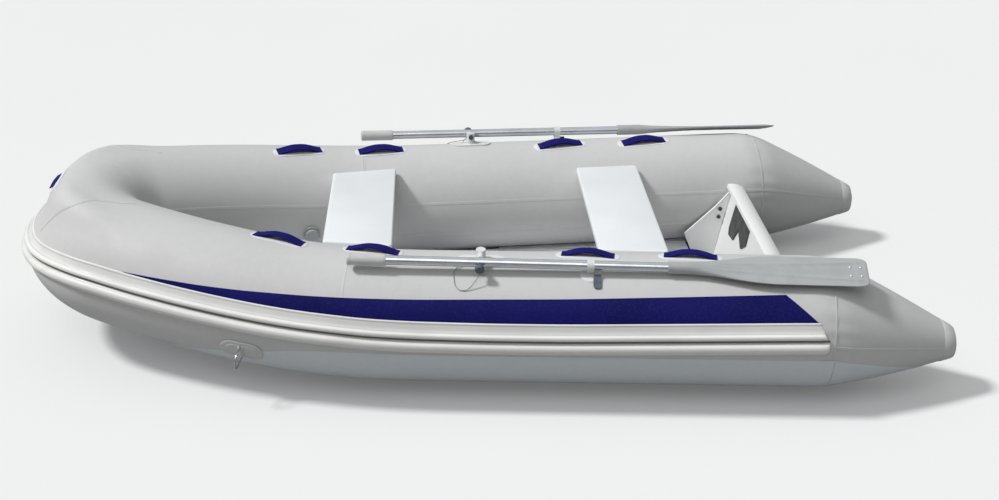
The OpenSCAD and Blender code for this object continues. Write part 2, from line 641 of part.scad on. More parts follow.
port_tube();
starboard_tube();
bow_tube();
port_cone();
starboard_cone();
port_cone_cap();
starboard_cone_cap();
baffles();
rub_strake();
port_stripe();
starboard_stripe();
bottom_lap();
bottom_sheet();
keel_tube();
floor_aft();
floor_middle();
floor_front();
floor_bow();
stringers();
front_seat();
rear_seat();
front_seat_chocks();
rear_seat_chocks();
transom_board();
transom_cap();
inner_motor_pad();
outer_motor_pad();
port_knee();
starboard_knee();
knee_bolts();
drain_plug();
port_handles();
starboard_handles();
bow_handle();
handle_pads();
port_rowlock_base();
starboard_rowlock_base();
port_swivel();
starboard_swivel();
port_pin();
starboard_pin();
port_shaft();
starboard_shaft();
port_grip();
starboard_grip();
port_blade();
starboard_blade();
holder_pads();
port_holder_strap();
starboard_holder_strap();
port_lanyard();
starboard_lanyard();
ring_patches();
port_ring();
starboard_ring();
valve_bodies();
port_valve_cap();
starboard_valve_cap();
bow_valve_cap();
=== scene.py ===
import math

import bmesh
import bpy
import numpy as np
from mathutils import Matrix, Vector


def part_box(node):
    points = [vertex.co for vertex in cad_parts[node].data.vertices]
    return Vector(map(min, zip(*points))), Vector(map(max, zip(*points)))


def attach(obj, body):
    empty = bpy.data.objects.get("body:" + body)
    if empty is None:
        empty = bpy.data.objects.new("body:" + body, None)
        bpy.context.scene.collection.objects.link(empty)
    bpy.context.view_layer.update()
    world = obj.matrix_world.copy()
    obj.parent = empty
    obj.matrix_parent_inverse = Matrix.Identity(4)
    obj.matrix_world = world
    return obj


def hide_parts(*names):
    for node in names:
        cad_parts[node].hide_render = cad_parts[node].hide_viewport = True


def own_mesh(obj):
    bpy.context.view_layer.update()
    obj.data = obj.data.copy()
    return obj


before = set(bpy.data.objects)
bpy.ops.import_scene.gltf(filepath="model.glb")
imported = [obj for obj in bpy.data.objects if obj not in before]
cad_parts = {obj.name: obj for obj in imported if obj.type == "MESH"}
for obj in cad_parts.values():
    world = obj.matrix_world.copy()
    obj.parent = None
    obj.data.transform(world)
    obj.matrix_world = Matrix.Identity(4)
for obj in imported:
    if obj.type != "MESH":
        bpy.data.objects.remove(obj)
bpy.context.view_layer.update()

bl_info = {
    "name": "Inflatable dinghy",
    "version": (1, 0, 0),
    "blender": (4, 5, 0),
    "location": "3D View > Sidebar > Dinghy",
    "description": "Builds the looks of a rowing dinghy round its packed solids",
    "category": "Object",
}


# Settings


def length(name, text, value):
    """A length property in metres."""
    return bpy.props.FloatProperty(name=name, description=text, default=value, precision=4, unit="LENGTH")


def angle(name, text, degrees):
    """An angle property, given in degrees."""
    return bpy.props.FloatProperty(
        name=name, description=text, default=math.radians(degrees), precision=4, subtype="ANGLE")


def colour(name, text, r, g, b):
    """A colour property, given as it looks on screen, from 0 to 255."""
    linear = [c / 255 / 12.92 if c < 10.3 else ((c / 255 + 0.055) / 1.055) ** 2.4 for c in (r, g, b)]
    return bpy.props.FloatVectorProperty(
        name=name, description=text, default=linear, size=3, min=0.0, max=1.0, subtype="COLOR")


class DinghyHull(bpy.types.PropertyGroup):
    """Lines of the buoyancy tube."""
    overall: length("Overall length", "Length over the bow strake and the stern caps", 3.085)
    fore: length("Bow reach", "From the origin to the front of the bow strake", 1.523)
    tube: length("Tube radius", "Radius of the inflated tube", 0.21)
    axis_z: length("Axis height", "Height of the tube axis over the keel", 0.245)
    side_half: length("Half breadth", "Axis to centre line where the curved side begins", 0.482)
    splay: angle("Splay", "How far the straight sides open toward the stern", 4.26)
    side_turn: angle("Side turn", "Heading of the side where the bow bend begins", 25.9)
    bow_bend: length("Bow bend", "Radius of the axis round the bow", 0.27)
    shoulder: length("Shoulder", "From the curved side's start to the sheer seam", 0.162)
    sheer: angle("Sheer", "How far the bow is raised", 7.5)
    sheer_run: length("Sheer run", "Half the length over which the tube bends up", 0.3)
    stem_flat: length("Stem flat", "How far the panels over the stem sit inside the round", 0.042)
    shoulder_full: length("Bow shoulders", "How far the bow shoulders stand out of the round", 0.023)
    cone_len: length("Cone length", "Length of the stern cones", 0.414)
    cone_drop: length("Cone drop", "How far the cone's end sits under the tube axis", 0.07)
    cone_out: length("Cone set", "How far the cone's end sits outboard of the tube axis", 0.026)
    cone_end: length("Cone end", "Radius of the cone's end", 0.052)
    cap: length("Cone cap", "Length of the moulded cone cap", 0.014)
    rib: length("Strake rib", "Height of the strake's main rib over the tube", 0.017)


class DinghyFit(bpy.types.PropertyGroup):
    """Sizes of the things fitted to the tube."""
    strap_w: length("Handle width", "Width of the handle webbing", 0.046)
    strap_rise: length("Handle rise", "Height of the handle's arch over the tube", 0.0195)
    pad_l: length("Pad length", "Length of a handle pad", 0.206)
    pad_w: length("Pad width", "Width of a handle pad", 0.062)
    shaft: length("Shaft radius", "Radius of the oar shaft", 0.015)
    blade_half: length("Blade half width", "Half the width of the blade at its end", 0.058)
    cord: length("Lanyard thickness", "Thickness of the knob's lanyard", 0.003)
    stitch: length("Stitch length", "Length of one stitch on the webbing", 0.0032)
    stitch_gap: length("Stitch spacing", "From one stitch to the next", 0.0046)


class DinghyColours(bpy.types.PropertyGroup):
    """Colours of the finishes."""
    hull: colour("Hull fabric", "Coated fabric of the tubes", 205, 205, 204)
    trim: colour("Pads", "Welded pads, seat chocks and chamber walls", 226, 227, 229)
    bottom: colour("Bottom fabric", "Fabric of the bottom and its lap", 216, 222, 225)
    stripe: colour("Stripe", "Painted stripe along the tube", 22, 22, 92)
    webbing: colour("Webbing", "Handle webbing", 17, 14, 92)
    strake: colour("Strake", "Extruded rub strake", 236, 235, 232)
    # The strake groove colour is painted shade in the strake's groove and creases, with some dirt in the
    # groove
    groove: colour("Strake groove", "Grime held in the strake's groove", 92, 90, 86)
    seat: colour("Seats", "Painted bench boards", 236, 239, 241)
    paint: colour("Transom paint", "Paint of the transom and its knees", 240, 241, 240)
    dark: colour("Dark plastic", "Motor pads, bolts and the drain plug", 62, 65, 64)
    grey: colour("Grey plastic", "Oar blades and valves", 172, 174, 175)
    grip: colour("Grips", "Oar grips", 200, 201, 200)
    pale: colour("Pale plastic", "Rowlocks and holder straps", 222, 223, 222)
    alloy: colour("Alloy", "Oar shafts and floor rails", 205, 207, 212)
    steel: colour("Steel", "Towing rings", 200, 201, 203)
    slate: colour("Slate", "Rowlock knobs and the loose tail of the oar holder", 84, 94, 106)
    cord: colour("Lanyard", "Thin cord of the knob", 168, 169, 166)
    ply: colour("Floor paint", "Painted floor boards", 222, 224, 226)
    floor: colour("Studio floor", "Ground under the dinghy", 238, 238, 238)


# Lines of the hull


# Angle of the strake's groove by station, read along the hull
BELT = (
    (-1.12, 80.4), (-1.0, 81.0), (-0.8, 82.2), (-0.5, 83.9), (-0.3, 84.9), (-0.1, 85.1), (0.1, 84.5),
    (0.3, 83.6), (0.45, 82.8), (0.6, 82.9), (0.8, 83.6), (1.0, 84.4), (1.16, 85.2), (1.195, 86.2),
    (1.23, 88.4), (1.255, 90.6), (1.275, 92.2), (1.308, 93.5),
)
# Groove and main rib in the strake's own section, in degrees
GROOVE_A, RIB_A = 85.6, 91.5
# Middle and width of the full bow shoulders, along the run and round the tube, then of the stem's flat
SHOULDER_ALONG, SHOULDER_ROUND = (0.185, 0.115), (28, 14)
STEM_ALONG, STEM_ROUND = (0, 0.19), (63, 26)
# Fullness of the cone's sides, and the run over which its corner is eased
CONE_FULL, CORNER = 0.006, 0.065
# Steps up and along by which a frame on the skin is found
PROBE_UP, PROBE_ALONG = 0.01, 0.004


def curve_through(points, at):
    """Smooth values at the given places through a short list of (place, value), level past the ends."""
    xs, ys = np.array(points, float).T
    step = np.diff(ys) / np.diff(xs)
    slope = np.concatenate(([step[0]], (step[1:] + step[:-1]) / 2, [step[-1]]))
    slope[1:-1][step[1:] * step[:-1] <= 0] = 0
    at = np.clip(np.asarray(at, float), xs[0], xs[-1])
    k = np.clip(np.searchsorted(xs, at) - 1, 0, len(xs) - 2)
    w = xs[k + 1] - xs[k]
    t = (at - xs[k]) / w
    return ((2 * t ** 3 - 3 * t ** 2 + 1) * ys[k] + (t ** 3 - 2 * t ** 2 + t) * w * slope[k]
            + (3 * t ** 2 - 2 * t ** 3) * ys[k + 1] + (t ** 3 - t ** 2) * w * slope[k + 1])


def swell(value, middle, width):
    """A smooth bump of height one."""
    return np.exp(-((value - middle) / width) ** 2)


def ramp(value, start, stop):
    """From 0 at start to 1 at stop, level outside."""
    return np.clip((value - start) / (stop - start), 0, 1)


def spaced(start, stop, step):
    """Even places from start to stop, about a step apart."""
    return np.linspace(start, stop, max(2, int(round(abs(stop - start) / step)) + 1))


def axes(x, y, z, origin):
    """A frame from its axes and origin."""
    m = Matrix((x, y, z)).transposed().to_4x4()
    m.translation = origin
    return m


class TubeLine:
    """The inflated tube: places on its skin by run from the port cone, angle from the top and height."""

    def __init__(self, z):
        self.r, self.axis_z = z.tube, z.axis_z
        self.splay, self.turn, self.bow = z.splay, z.side_turn, z.bow_bend
        self.sheer, self.run = z.sheer, z.sheer_run
        self.stem, self.shoulder = z.stem_flat, z.shoulder_full
        self.cone_r, self.cone_len = z.cone_end, z.cone_len
        self.cone_drop, self.cone_out = z.cone_drop, z.cone_out
        a, b, c = self.splay, self.turn, self.bow
        self.side_r = (z.side_half - c * math.cos(b)) / (math.cos(a) - math.cos(b))
        advance = self.side_r * (math.sin(b) - math.sin(a))
        reach = advance + c * (1 - math.sin(b)) - z.shoulder
        rib_a, rib_r = math.radians(RIB_A), z.tube + z.rib
        level, drop = reach + rib_r * math.sin(rib_a), rib_r * math.cos(rib_a)
        self.seam_x = z.fore - (level * math.cos(z.sheer) - drop * math.sin(z.sheer))
        self.side_x = self.seam_x - z.shoulder
        self.centre = (self.side_x - self.side_r * math.sin(a), z.side_half - self.side_r * math.cos(a))
        self.bend_x = self.side_x + advance
        self.bow_x = self.bend_x - c * math.sin(b)
        stern = z.fore - z.overall + z.cap
        self.cone_x = stern + z.cone_len
        self.cone_y = z.side_half + math.tan(a) * (self.side_x - self.cone_x)
        self.cone_end = (stern, self.cone_y + z.cone_out, z.axis_z - z.cone_drop)
        self.straight = (self.side_x - self.cone_x) / math.cos(a)
        self.curved = self.side_r * (b - a)
        self.half = self.straight + self.curved + c * (math.pi / 2 - b)

    def run_at(self, x):
        """Run along the port side to a station x."""
        if x < self.side_x:
            return (x - self.cone_x) / math.cos(self.splay)
        if x < self.bend_x:
            return self.straight + self.side_r * (math.asin((x - self.centre[0]) / self.side_r) - self.splay)
        q = math.asin(min(1.0, (x - self.bow_x) / self.bow))
        return self.straight + self.curved + self.bow * (q - self.turn)

    def runs_at(self, xs):
        """Runs to several stations."""
        return np.array([self.run_at(x) for x in xs])

    def from_cone(self, s):
        """Run from the nearer cone."""
        return np.minimum(s, 2 * self.half - s)

    def plan(self, s):
        """Axis place in plan and heading toward the centre line, for an array of runs."""
        s = np.asarray(s, float)
        far = s > self.half
        m = self.from_cone(s)
        past = m - self.straight - self.curved
        straight, bend = m < self.straight, past > 0
        q = np.where(straight, self.splay, self.splay + (m - self.straight) / self.side_r)
        q = np.where(bend, self.turn + past / self.bow, q)
        x = np.where(straight, self.cone_x + m * math.cos(self.splay),
                     self.centre[0] + self.side_r * np.sin(q))
        y = np.where(straight, self.cone_y - m * math.sin(self.splay),
                     self.centre[1] + self.side_r * np.cos(q))
        x = np.where(bend, self.bow_x + self.bow * np.sin(q), x)
        y = np.where(bend, self.bow * np.cos(q), y)
        return x, np.where(far, -y, y), np.where(far, math.pi - q, q)

    def raised(self, x, y, z):
        """Bends level places up at the bow."""
        start, stop = self.seam_x - self.run, self.seam_x + self.run
        turn = self.sheer * ramp(x, start, stop)
        bend = 2 * self.run / self.sheer
        past = np.maximum(0, x - stop)
        cx = np.minimum(x, start) + bend * np.sin(turn) + past * math.cos(self.sheer)
        cz = bend * (1 - np.cos(turn)) + past * math.sin(self.sheer)
        return np.stack([cx - z * np.sin(turn), y, self.axis_z + cz + z * np.cos(turn)], -1)

    def form(self, s, a):
        """How the bow panels depart from a round tube: flat over the stem, full at the shoulders."""
        side = np.abs(s - self.half)
        deg = (np.degrees(a) + 180) % 360 - 180
        full = self.shoulder * swell(side, *SHOULDER_ALONG) * swell(deg, *SHOULDER_ROUND)
        return full - self.stem * swell(side, *STEM_ALONG) * swell(deg, *STEM_ROUND)

    def eased(self, gap, a):
        """How far the fabric cuts the corner at the cone's seam, at a distance along from it."""
        fall = (self.r - self.cone_r - CONE_FULL * math.pi
                + self.cone_drop * np.cos(a) - self.cone_out * np.sin(a))
        return np.maximum(fall / self.cone_len, 0) * np.maximum(CORNER - gap, 0) ** 2 / (4 * CORNER)

    def at(self, s, a, h=0.0):
        """Places at run s, angle a in degrees outboard of the top, height h over the skin."""
        s, a, h = np.broadcast_arrays(np.asarray(s, float), np.radians(a), np.asarray(h, float))
        x, y, q = self.plan(s)
        r = self.r + h + self.form(s, a) - self.eased(self.from_cone(s), a)
        out = r * np.sin(a)
        return self.raised(x + np.sin(q) * out, y + np.cos(q) * out, r * np.cos(a))

    def cone_at(self, t, a, h=0.0):
        """Places on the port cone: t from 0 at its seam to 1 at its end."""
        t, a, h = np.broadcast_arrays(np.asarray(t, float), np.radians(a), np.asarray(h, float))
        r = self.r + (self.cone_r - self.r) * t + CONE_FULL * np.sin(math.pi * t) + h
        r = r - self.eased(t * self.cone_len, a)
        q = self.splay * (1 - t)
        end = self.cone_end
        x = self.cone_x + (end[0] - self.cone_x) * t + np.sin(q) * r * np.sin(a)
        y = self.cone_y + (end[1] - self.cone_y) * t + np.cos(q) * r * np.sin(a)
        return np.stack([x, y, self.axis_z + (end[2] - self.axis_z) * t + r * np.cos(a)], -1)

    def belt(self, s):
        """Angle of the strake's groove at the given runs."""
        return curve_through(BELT, self.plan(self.from_cone(np.asarray(s, float)))[0])

    def stand(self, x, a):
        """Frame on the skin at station x: local x forward, y outboard, z out of the skin."""
        s = self.run_at(x)
        o = Vector(self.at(s, a))
        up = (Vector(self.at(s, a, PROBE_UP)) - o).normalized()
        fore = (Vector(self.at(s + PROBE_ALONG, a)) - Vector(self.at(s - PROBE_ALONG, a))).normalized()
        return axes(fore, up.cross(fore).normalized(), up, o)

    def inner_y(self, x, h):
        """Inner face of the tube at a station and height over the axis."""
        _, y, q = self.plan(self.run_at(x))
        return float(y) - math.sqrt(self.r ** 2 - h ** 2) / math.cos(float(q))


def sizes():
    """The hull's lines from the scene's properties."""
    return TubeLine(bpy.context.scene.dinghy_hull)


# Finishes


FINISHES = {}


def add_node(tree, kind, inputs=None, **options):
    """A node with its options and the values of its inputs."""
    n = tree.nodes.new(kind)
    for key, value in options.items():
        setattr(n, key, value)
    for key, value in (inputs or {}).items():
        n.inputs[key].default_value = value
    return n


def wire(tree, *links):
    """Links, each given as a node, its output, the next node and its input."""
    for a, out, b, into in links:
        tree.links.new(a.outputs[out], b.inputs[into])


def scaled(base, gain, lift=0.0):
    """A colour made lighter or darker."""
    return [min(1.0, v * gain + lift) for v in base]


class Finish:
    """A material with its principled shader and helpers for its nodes."""

    def __init__(self, name, base, rough, metal=0.0, coat=0.0, spec=0.5):
        self.base = tuple(base)
        self.mat = bpy.data.materials.new(name)
        self.mat.use_nodes = True
        self.mat.diffuse_color = (*base, 1)
        self.tree = self.mat.node_tree
        self.tree.nodes.clear()
        self.out = self.node("ShaderNodeOutputMaterial")
        self.skin = self.node("ShaderNodeBsdfPrincipled", {
            "Base Color": (*base, 1), "Roughness": rough, "Metallic": metal,
            "Coat Weight": coat, "Specular IOR Level": spec})
        self.link(self.skin.outputs[0], self.out.inputs[0])
        self.place = self.node("ShaderNodeTexCoord")
        self.last_bump = None
        FINISHES[name] = self.mat

    def node(self, kind, inputs=None, **options):
        return add_node(self.tree, kind, inputs, **options)

    def link(self, a, b):
        self.tree.links.new(a, b)

    def stretched(self, scale):
        """The piece's own coordinates, scaled by axis."""
        m = self.node("ShaderNodeMapping", {"Scale": scale})
        self.link(self.place.outputs["Object"], m.inputs["Vector"])
        return m.outputs[0]

    def pattern(self, kind, out, vector, inputs, **options):
        """A texture on the piece's own coordinates, or on those given."""
        n = self.node(kind, inputs, **options)
        self.link(vector or self.place.outputs["Object"], n.inputs["Vector"])
        return n.outputs[out]

    def noise(self, scale, detail, vector=None):
        return self.pattern("ShaderNodeTexNoise", "Fac", vector, {"Scale": scale, "Detail": detail})

    def cells(self, scale):
        return self.pattern("ShaderNodeTexVoronoi", "Distance", None, {"Scale": scale})

    def bands(self, scale, direction, profile="SIN", vector=None):
        return self.pattern("ShaderNodeTexWave", "Fac", vector, {"Scale": scale},
                            bands_direction=direction, wave_profile=profile)

    def spread(self, value, low, high, start=0.35, stop=0.65):
        """The pattern between start and stop, as values from low to high."""
        n = self.node("ShaderNodeMapRange", {
            "From Min": start, "From Max": stop, "To Min": low, "To Max": high})
        self.link(value, n.inputs["Value"])
        return n.outputs[0]

    def attribute(self, name):
        return self.node("ShaderNodeAttribute", attribute_name=name).outputs["Fac"]

    def tinted(self, value, other, amount=1.0):
        """Mixes another colour into the base where value is high."""
        share = self.node("ShaderNodeMath", {1: amount}, operation="MULTIPLY")
        self.link(value, share.inputs[0])
        n = self.node("ShaderNodeMix", data_type="RGBA")
        self.link(share.outputs[0], n.inputs["Factor"])
        before = self.skin.inputs["Base Color"]
        if before.is_linked:
            self.link(before.links[0].from_socket, n.inputs["A"])
        else:
            n.inputs["A"].default_value = (*self.base, 1)
        n.inputs["B"].default_value = (*other, 1)
        self.link(n.outputs["Result"], before)

    def mottled(self, scale, dark, light):
        """Slow variation of the base colour."""
        value = self.noise(scale, 3)
        self.tinted(self.spread(value, 1, 0, 0.3, 0.55), scaled(self.base, dark))
        self.tinted(self.spread(value, 0, 1, 0.45, 0.7), scaled(self.base, light))

    def sheened(self, value, low, high):
        """Roughness that varies with a pattern."""
        self.link(self.spread(value, low, high), self.skin.inputs["Roughness"])

    def raised(self, value, strength, depth):
        """Bump from a pattern, over the bumps before it."""
        n = self.node("ShaderNodeBump", {"Strength": strength, "Distance": depth})
        self.link(value, n.inputs["Height"])
        if self.last_bump:
            self.link(self.last_bump, n.inputs["Normal"])
        self.last_bump = n.outputs[0]
        self.link(self.last_bump, self.skin.inputs["Normal"])


def coated_fabric(name, base, rough):
    """Coated fabric: a fine scrim showing through a satin skin, with faint handling marks."""
    f = Finish(name, base, rough, spec=0.25)
    f.mottled(2.2, 0.95, 1.02)
    f.mottled(40, 0.985, 1.01)
    f.sheened(f.noise(14, 4), rough - 0.06, rough + 0.1)
    f.raised(f.cells(620), 0.10, 0.0004)
    f.raised(f.noise(9, 2), 0.12, 0.004)


def painted_board(name, base, rough, grain):
    """Painted board: a level coat with a slow change of gloss, and a trace of the grain if it has one."""
    f = Finish(name, base, rough, coat=0.15)
    f.mottled(5, 0.965, 1.01)
    f.sheened(f.noise(7, 2), rough - 0.02, rough + 0.05)
    if grain:
        f.raised(f.noise(55, 5, f.stretched((6, 0.5, 6))), 0.08, 0.0006)
    f.raised(f.noise(240, 2), 0.05, 0.0004)


def moulded(name, base, rough, pebble=420, depth=0.0004):
    """Moulded plastic: fine pebble, slightly uneven gloss."""
    f = Finish(name, base, rough)
    f.mottled(18, 0.93, 1.04)
    f.sheened(f.noise(26, 4), rough - 0.08, rough + 0.12)
    f.raised(f.cells(pebble), 0.18, depth)


def drawn_metal(name, base, rough, along):
    """Drawn or polished metal with hairlines along its length."""
    f = Finish(name, base, rough, metal=1.0)
    lines = f.noise(900, 2, f.stretched((along, 1, 1)))
    f.mottled(12, 0.9, 1.03)
    f.sheened(lines, rough - 0.07, rough + 0.1)
    f.raised(lines, 0.06, 0.0002)


def twisted(name, base):
    """Thread, cord or tape with a slanting lay."""
    f = Finish(name, base, 0.7)
    f.mottled(90, 0.8, 1.15)
    f.raised(f.bands(260, "DIAGONAL"), 0.4, 0.0005)


def stripe_paint(base):
    """Thin paint on the fabric, worn in fine specks."""
    f = Finish("stripe_paint", base, 0.55, spec=0.06)
    f.mottled(3, 0.8, 1.15)
    f.tinted(f.spread(f.noise(150, 5), 0, 1, 0.5, 0.75), scaled(base, 1.7, 0.01), 0.5)
    f.sheened(f.noise(30, 4), 0.32, 0.5)
    f.raised(f.cells(620), 0.08, 0.0004)


def strake_rubber(base, grime_and_shade):
    """Extruded rubber with streaks along it, and painted shade with some dirt in its groove and creases."""
    f = Finish("strake_rubber", base, 0.4, spec=0.45)
    f.mottled(6, 0.96, 1.01)
    streaks = f.noise(22, 5, f.stretched((0.2, 1, 1)))
    f.tinted(f.spread(streaks, 0, 1, 0.5, 0.72), scaled(base, 0.8), 0.45)
    # painted shade, with some dirt, in the groove and creases, read from the mesh's groove attribute
    f.tinted(f.attribute("groove"), grime_and_shade)
    f.sheened(f.noise(20, 4), 0.32, 0.5)
    f.raised(f.noise(300, 2, f.stretched((0.1, 1, 1))), 0.06, 0.0004)


def webbing(base):
    """Woven webbing: ribs along it and slanting picks."""
    f = Finish("webbing", base, 0.75, spec=0.12)
    weave = f.place.outputs["UV"]
    rows = f.bands(55, "X", "TRI", weave)
    picks = f.bands(40, "DIAGONAL", "SIN", weave)
    f.mottled(30, 0.75, 1.25)
    f.tinted(f.spread(picks, 0, 1, 0.6, 0.95), scaled(base, 1.5, 0.004), 0.5)
    f.raised(rows, 0.35, 0.0006)
    f.raised(picks, 0.3, 0.0005)


def marine_ply(base):
    """Painted plywood with its grain showing through."""
    f = Finish("marine_ply", base, 0.5, coat=0.2)
    grain = f.noise(14, 6, f.stretched((0.35, 6, 6)))
    f.tinted(f.spread(grain, 0, 1, 0.42, 0.6), scaled(base, 0.62), 0.8)
    f.tinted(f.spread(f.noise(3, 3), 0, 1, 0.4, 0.7), scaled(base, 1.15), 0.6)
    f.sheened(grain, 0.42, 0.6)
    f.raised(grain, 0.12, 0.0006)


def make_finishes():
    """Every finish of the dinghy, from the scene's colours."""
    c = bpy.context.scene.dinghy_colours
    coated_fabric("hull_fabric", c.hull, 0.56)
    coated_fabric("trim_fabric", c.trim, 0.48)
    coated_fabric("bottom_fabric", c.bottom, 0.5)
    painted_board("seat_board", c.seat, 0.36, True)
    painted_board("transom_paint", c.paint, 0.3, False)
    moulded("dark_plastic", c.dark, 0.5)
    moulded("grey_plastic", c.grey, 0.42)
    moulded("slate_plastic", c.slate, 0.45)
    moulded("pale_plastic", c.pale, 0.4)
    moulded("grip_plastic", c.grip, 0.55, 300, 0.0008)
    drawn_metal("oar_alloy", c.alloy, 0.17, 0.02)
    drawn_metal("rail_alloy", c.alloy, 0.4, 0.02)
    drawn_metal("ring_steel", c.steel, 0.16, 0.2)
    twisted("thread", scaled(c.webbing, 2.2, 0.03))
    twisted("cord", c.cord)
    twisted("slate_strap", c.slate)
    stripe_paint(c.stripe)
    strake_rubber(c.strake, c.groove)
    webbing(c.webbing)
    marine_ply(c.ply)


# Meshes


# How far a welded film reaches under the skin, and a tape
FILM_UNDER, TAPE_UNDER = 0.0003, 0.0002
# Share of a patch's outline and of its thickness from its middle over its edge and back under it
PATCH = ((0.02, 1), (0.35, 1), (0.65, 1), (0.86, 1), (0.94, 0.96), (0.98, 0.75), (1, 0.3),
         (1, -1), (0.6, -1), (0.02, -1))
PILL_POINTS = 48
# Radius of the thread, the range of the stitches' lengths and the seed of their draw
THREAD_R, STITCH_RANGE, STITCH_SEED = 0.0005, (0.9, 1.1), 3


def shown(name, data):
    """An object in the scene's own collection."""
    obj = bpy.data.objects.new(name, data)
    bpy.context.scene.collection.objects.link(obj)
    return obj


def piece(name, verts, faces, finish, uv=None, sharp=40.0):
    """A mesh object at the origin with one finish, smooth but for its sharp edges."""
    mesh = bpy.data.meshes.new(name)
    mesh.from_pydata([tuple(v) for v in verts], [], [tuple(f) for f in faces])
    if uv is not None:
        layer = mesh.uv_layers.new(name="UVMap")
        index = np.zeros(len(mesh.loops), np.int64)
        mesh.loops.foreach_get("vertex_index", index)
        layer.data.foreach_set("uv", np.asarray(uv, float)[index].ravel())
    bm = bmesh.new()
    bm.from_mesh(mesh)
    bmesh.ops.recalc_face_normals(bm, faces=bm.faces)
    bm.to_mesh(mesh)
    bm.free()
    mesh.shade_smooth()
    mesh.set_sharp_from_angle(angle=math.radians(sharp))
    mesh.materials.append(FINISHES[finish])
    return shown(name, mesh)


def distances(points):
    """Running length along a row of points."""
    return np.concatenate(([0], np.cumsum(np.linalg.norm(np.diff(points, axis=0), axis=1))))


def loft(name, rings, finish, sharp=40.0, marks=None):
    """Skin over closed rings of equal count, capped at both ends, with a mark for each place of a ring."""
    rings = np.asarray(rings, float)
    n, m = rings.shape[:2]
    j, i = np.meshgrid(np.arange(n - 1), np.arange(m), indexing="ij")
    k = (i + 1) % m
    quads = np.stack([j * m + i, j * m + k, (j + 1) * m + k, (j + 1) * m + i], -1).reshape(-1, 4)
    faces = quads.tolist() + [range(m - 1, -1, -1), range((n - 1) * m, n * m)]
    along, around = distances(rings.mean(1)), distances(rings[n // 2])
    uv = np.stack(np.meshgrid(along, around, indexing="ij"), -1).reshape(-1, 2)
    obj = piece(name, rings.reshape(-1, 3), faces, finish, uv, sharp)
    # the marks darken the finish: on the strake they are painted shade in its groove and creases
    if marks is not None:
        obj.data.attributes.new("groove", "FLOAT", "POINT").data.foreach_set("value", np.tile(marks, n))
    return obj


def mirrored(obj, name=None):
    """The same piece on the starboard side."""
    mesh = obj.data.copy()
    mesh.name = name or obj.name + "_twin"
    mesh.transform(Matrix.Scale(-1, 4, (0, 1, 0)))
    mesh.flip_normals()
    return shown(mesh.name, mesh)


def with_twins(objs):
    """The pieces and the same on the starboard side."""
    return objs + [mirrored(o) for o in objs]


def joined(name, objs):
    """Several meshes as one piece, with their finishes kept."""
    finishes = []
    bm = bmesh.new()
    for o in objs:
        slots = []
        for mat in o.data.materials:
            if mat not in finishes:
                finishes.append(mat)
            slots.append(finishes.index(mat))
        first = len(bm.faces)
        bm.from_mesh(o.data)
        bm.faces.ensure_lookup_table()
        for f in bm.faces[first:]:
            f.material_index = slots[min(f.material_index, len(slots) - 1)]
    mesh = bpy.data.meshes.new(name)
    bm.to_mesh(mesh)
    bm.free()
    for mat in finishes:
        mesh.materials.append(mat)
    for o in objs:
        old = o.data
        bpy.data.objects.remove(o)
        bpy.data.meshes.remove(old)
    return shown(name, mesh)


def place(obj, nodes=(), body="hull"):
    """Rides a piece on its body and hides the imported parts that it stands for."""
    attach(obj, body)
    if nodes:
        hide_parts(*nodes)


def place_pair(port, form, node, body=None):
    """Places a port piece and its twin to starboard, whose names, nodes and bodies begin with their side."""
    pair = {"starboard": mirrored(port, "starboard_" + form), "port": port}
    for side, obj in pair.items():
        place(obj, [f"{side}_{node}"], f"{side}_{body}" if body else "hull")
    return pair


def band(name, at, runs, low, high, thick, finish, cells=8):
    """A thin strip on a surface: at(run, angle, height), between two edge angles given for each run."""
    runs = np.asarray(runs, float)
    low, high = np.broadcast_to(low, runs.shape), np.broadcast_to(high, runs.shape)
    inside = np.linspace(0.05, 0.95, cells)
    share = np.concatenate(([0, 0, 0.02], inside, [0.98, 1, 1], inside[::-1]))
    lift = np.concatenate(([-1, 0.45, 0.85], np.ones(cells), [0.85, 0.45, -1], -np.ones(cells)))
    h = np.where(lift < 0, -FILM_UNDER, lift * thick)
    rings = [at(np.full(len(share), s), lo + (hi - lo) * share, h) for s, lo, hi in zip(runs, low, high)]
    return loft(name, rings, finish)


def tape(name, at, edges, ease, rise, angles, shift=0.0):
    """A tape round the tube: its edges by run, how far each is eased, its height at edge and middle."""
    low, high = edges
    across = np.array([low, low, low + ease[0], high - ease[1], high, high])
    lift = np.array([-TAPE_UNDER, *rise, *rise[::-1], -TAPE_UNDER])
    shift = np.broadcast_to(shift, len(angles))
    rings = [at(across + s, np.full(len(lift), a), lift) for a, s in zip(angles, shift)]
    return loft(name, rings, "hull_fabric")


def pill(l, w):
    """Outline with round ends, long side along x."""
    t = np.linspace(0, 2 * math.pi, PILL_POINTS, endpoint=False)
    return np.stack([np.sign(np.cos(t)) * (l - w) / 2 + np.cos(t) * w / 2, np.sin(t) * w / 2], -1)


def patch(name, line, run, a, outline, thick, finish, under=FILM_UNDER, stages=PATCH):
    """A welded patch that follows the tube, from an outline in metres round a run and angle."""
    rings = []
    for f, lift in stages:
        p = outline * f
        h = np.full(len(p), -under if lift < 0 else lift * thick)
        rings.append(line.at(run + p[:, 0], a + np.degrees(p[:, 1] / line.r), h))
    return loft(name, rings, finish)


def polyline(name, rows):
    """Curve data through rows of points."""
    curve = bpy.data.curves.new(name, "CURVE")
    curve.dimensions = "3D"
    for row in rows:
        spline = curve.splines.new("POLY")
        spline.points.add(len(row) - 1)
        for point, co in zip(spline.points, row):
            point.co = (*co, 1)
    return curve


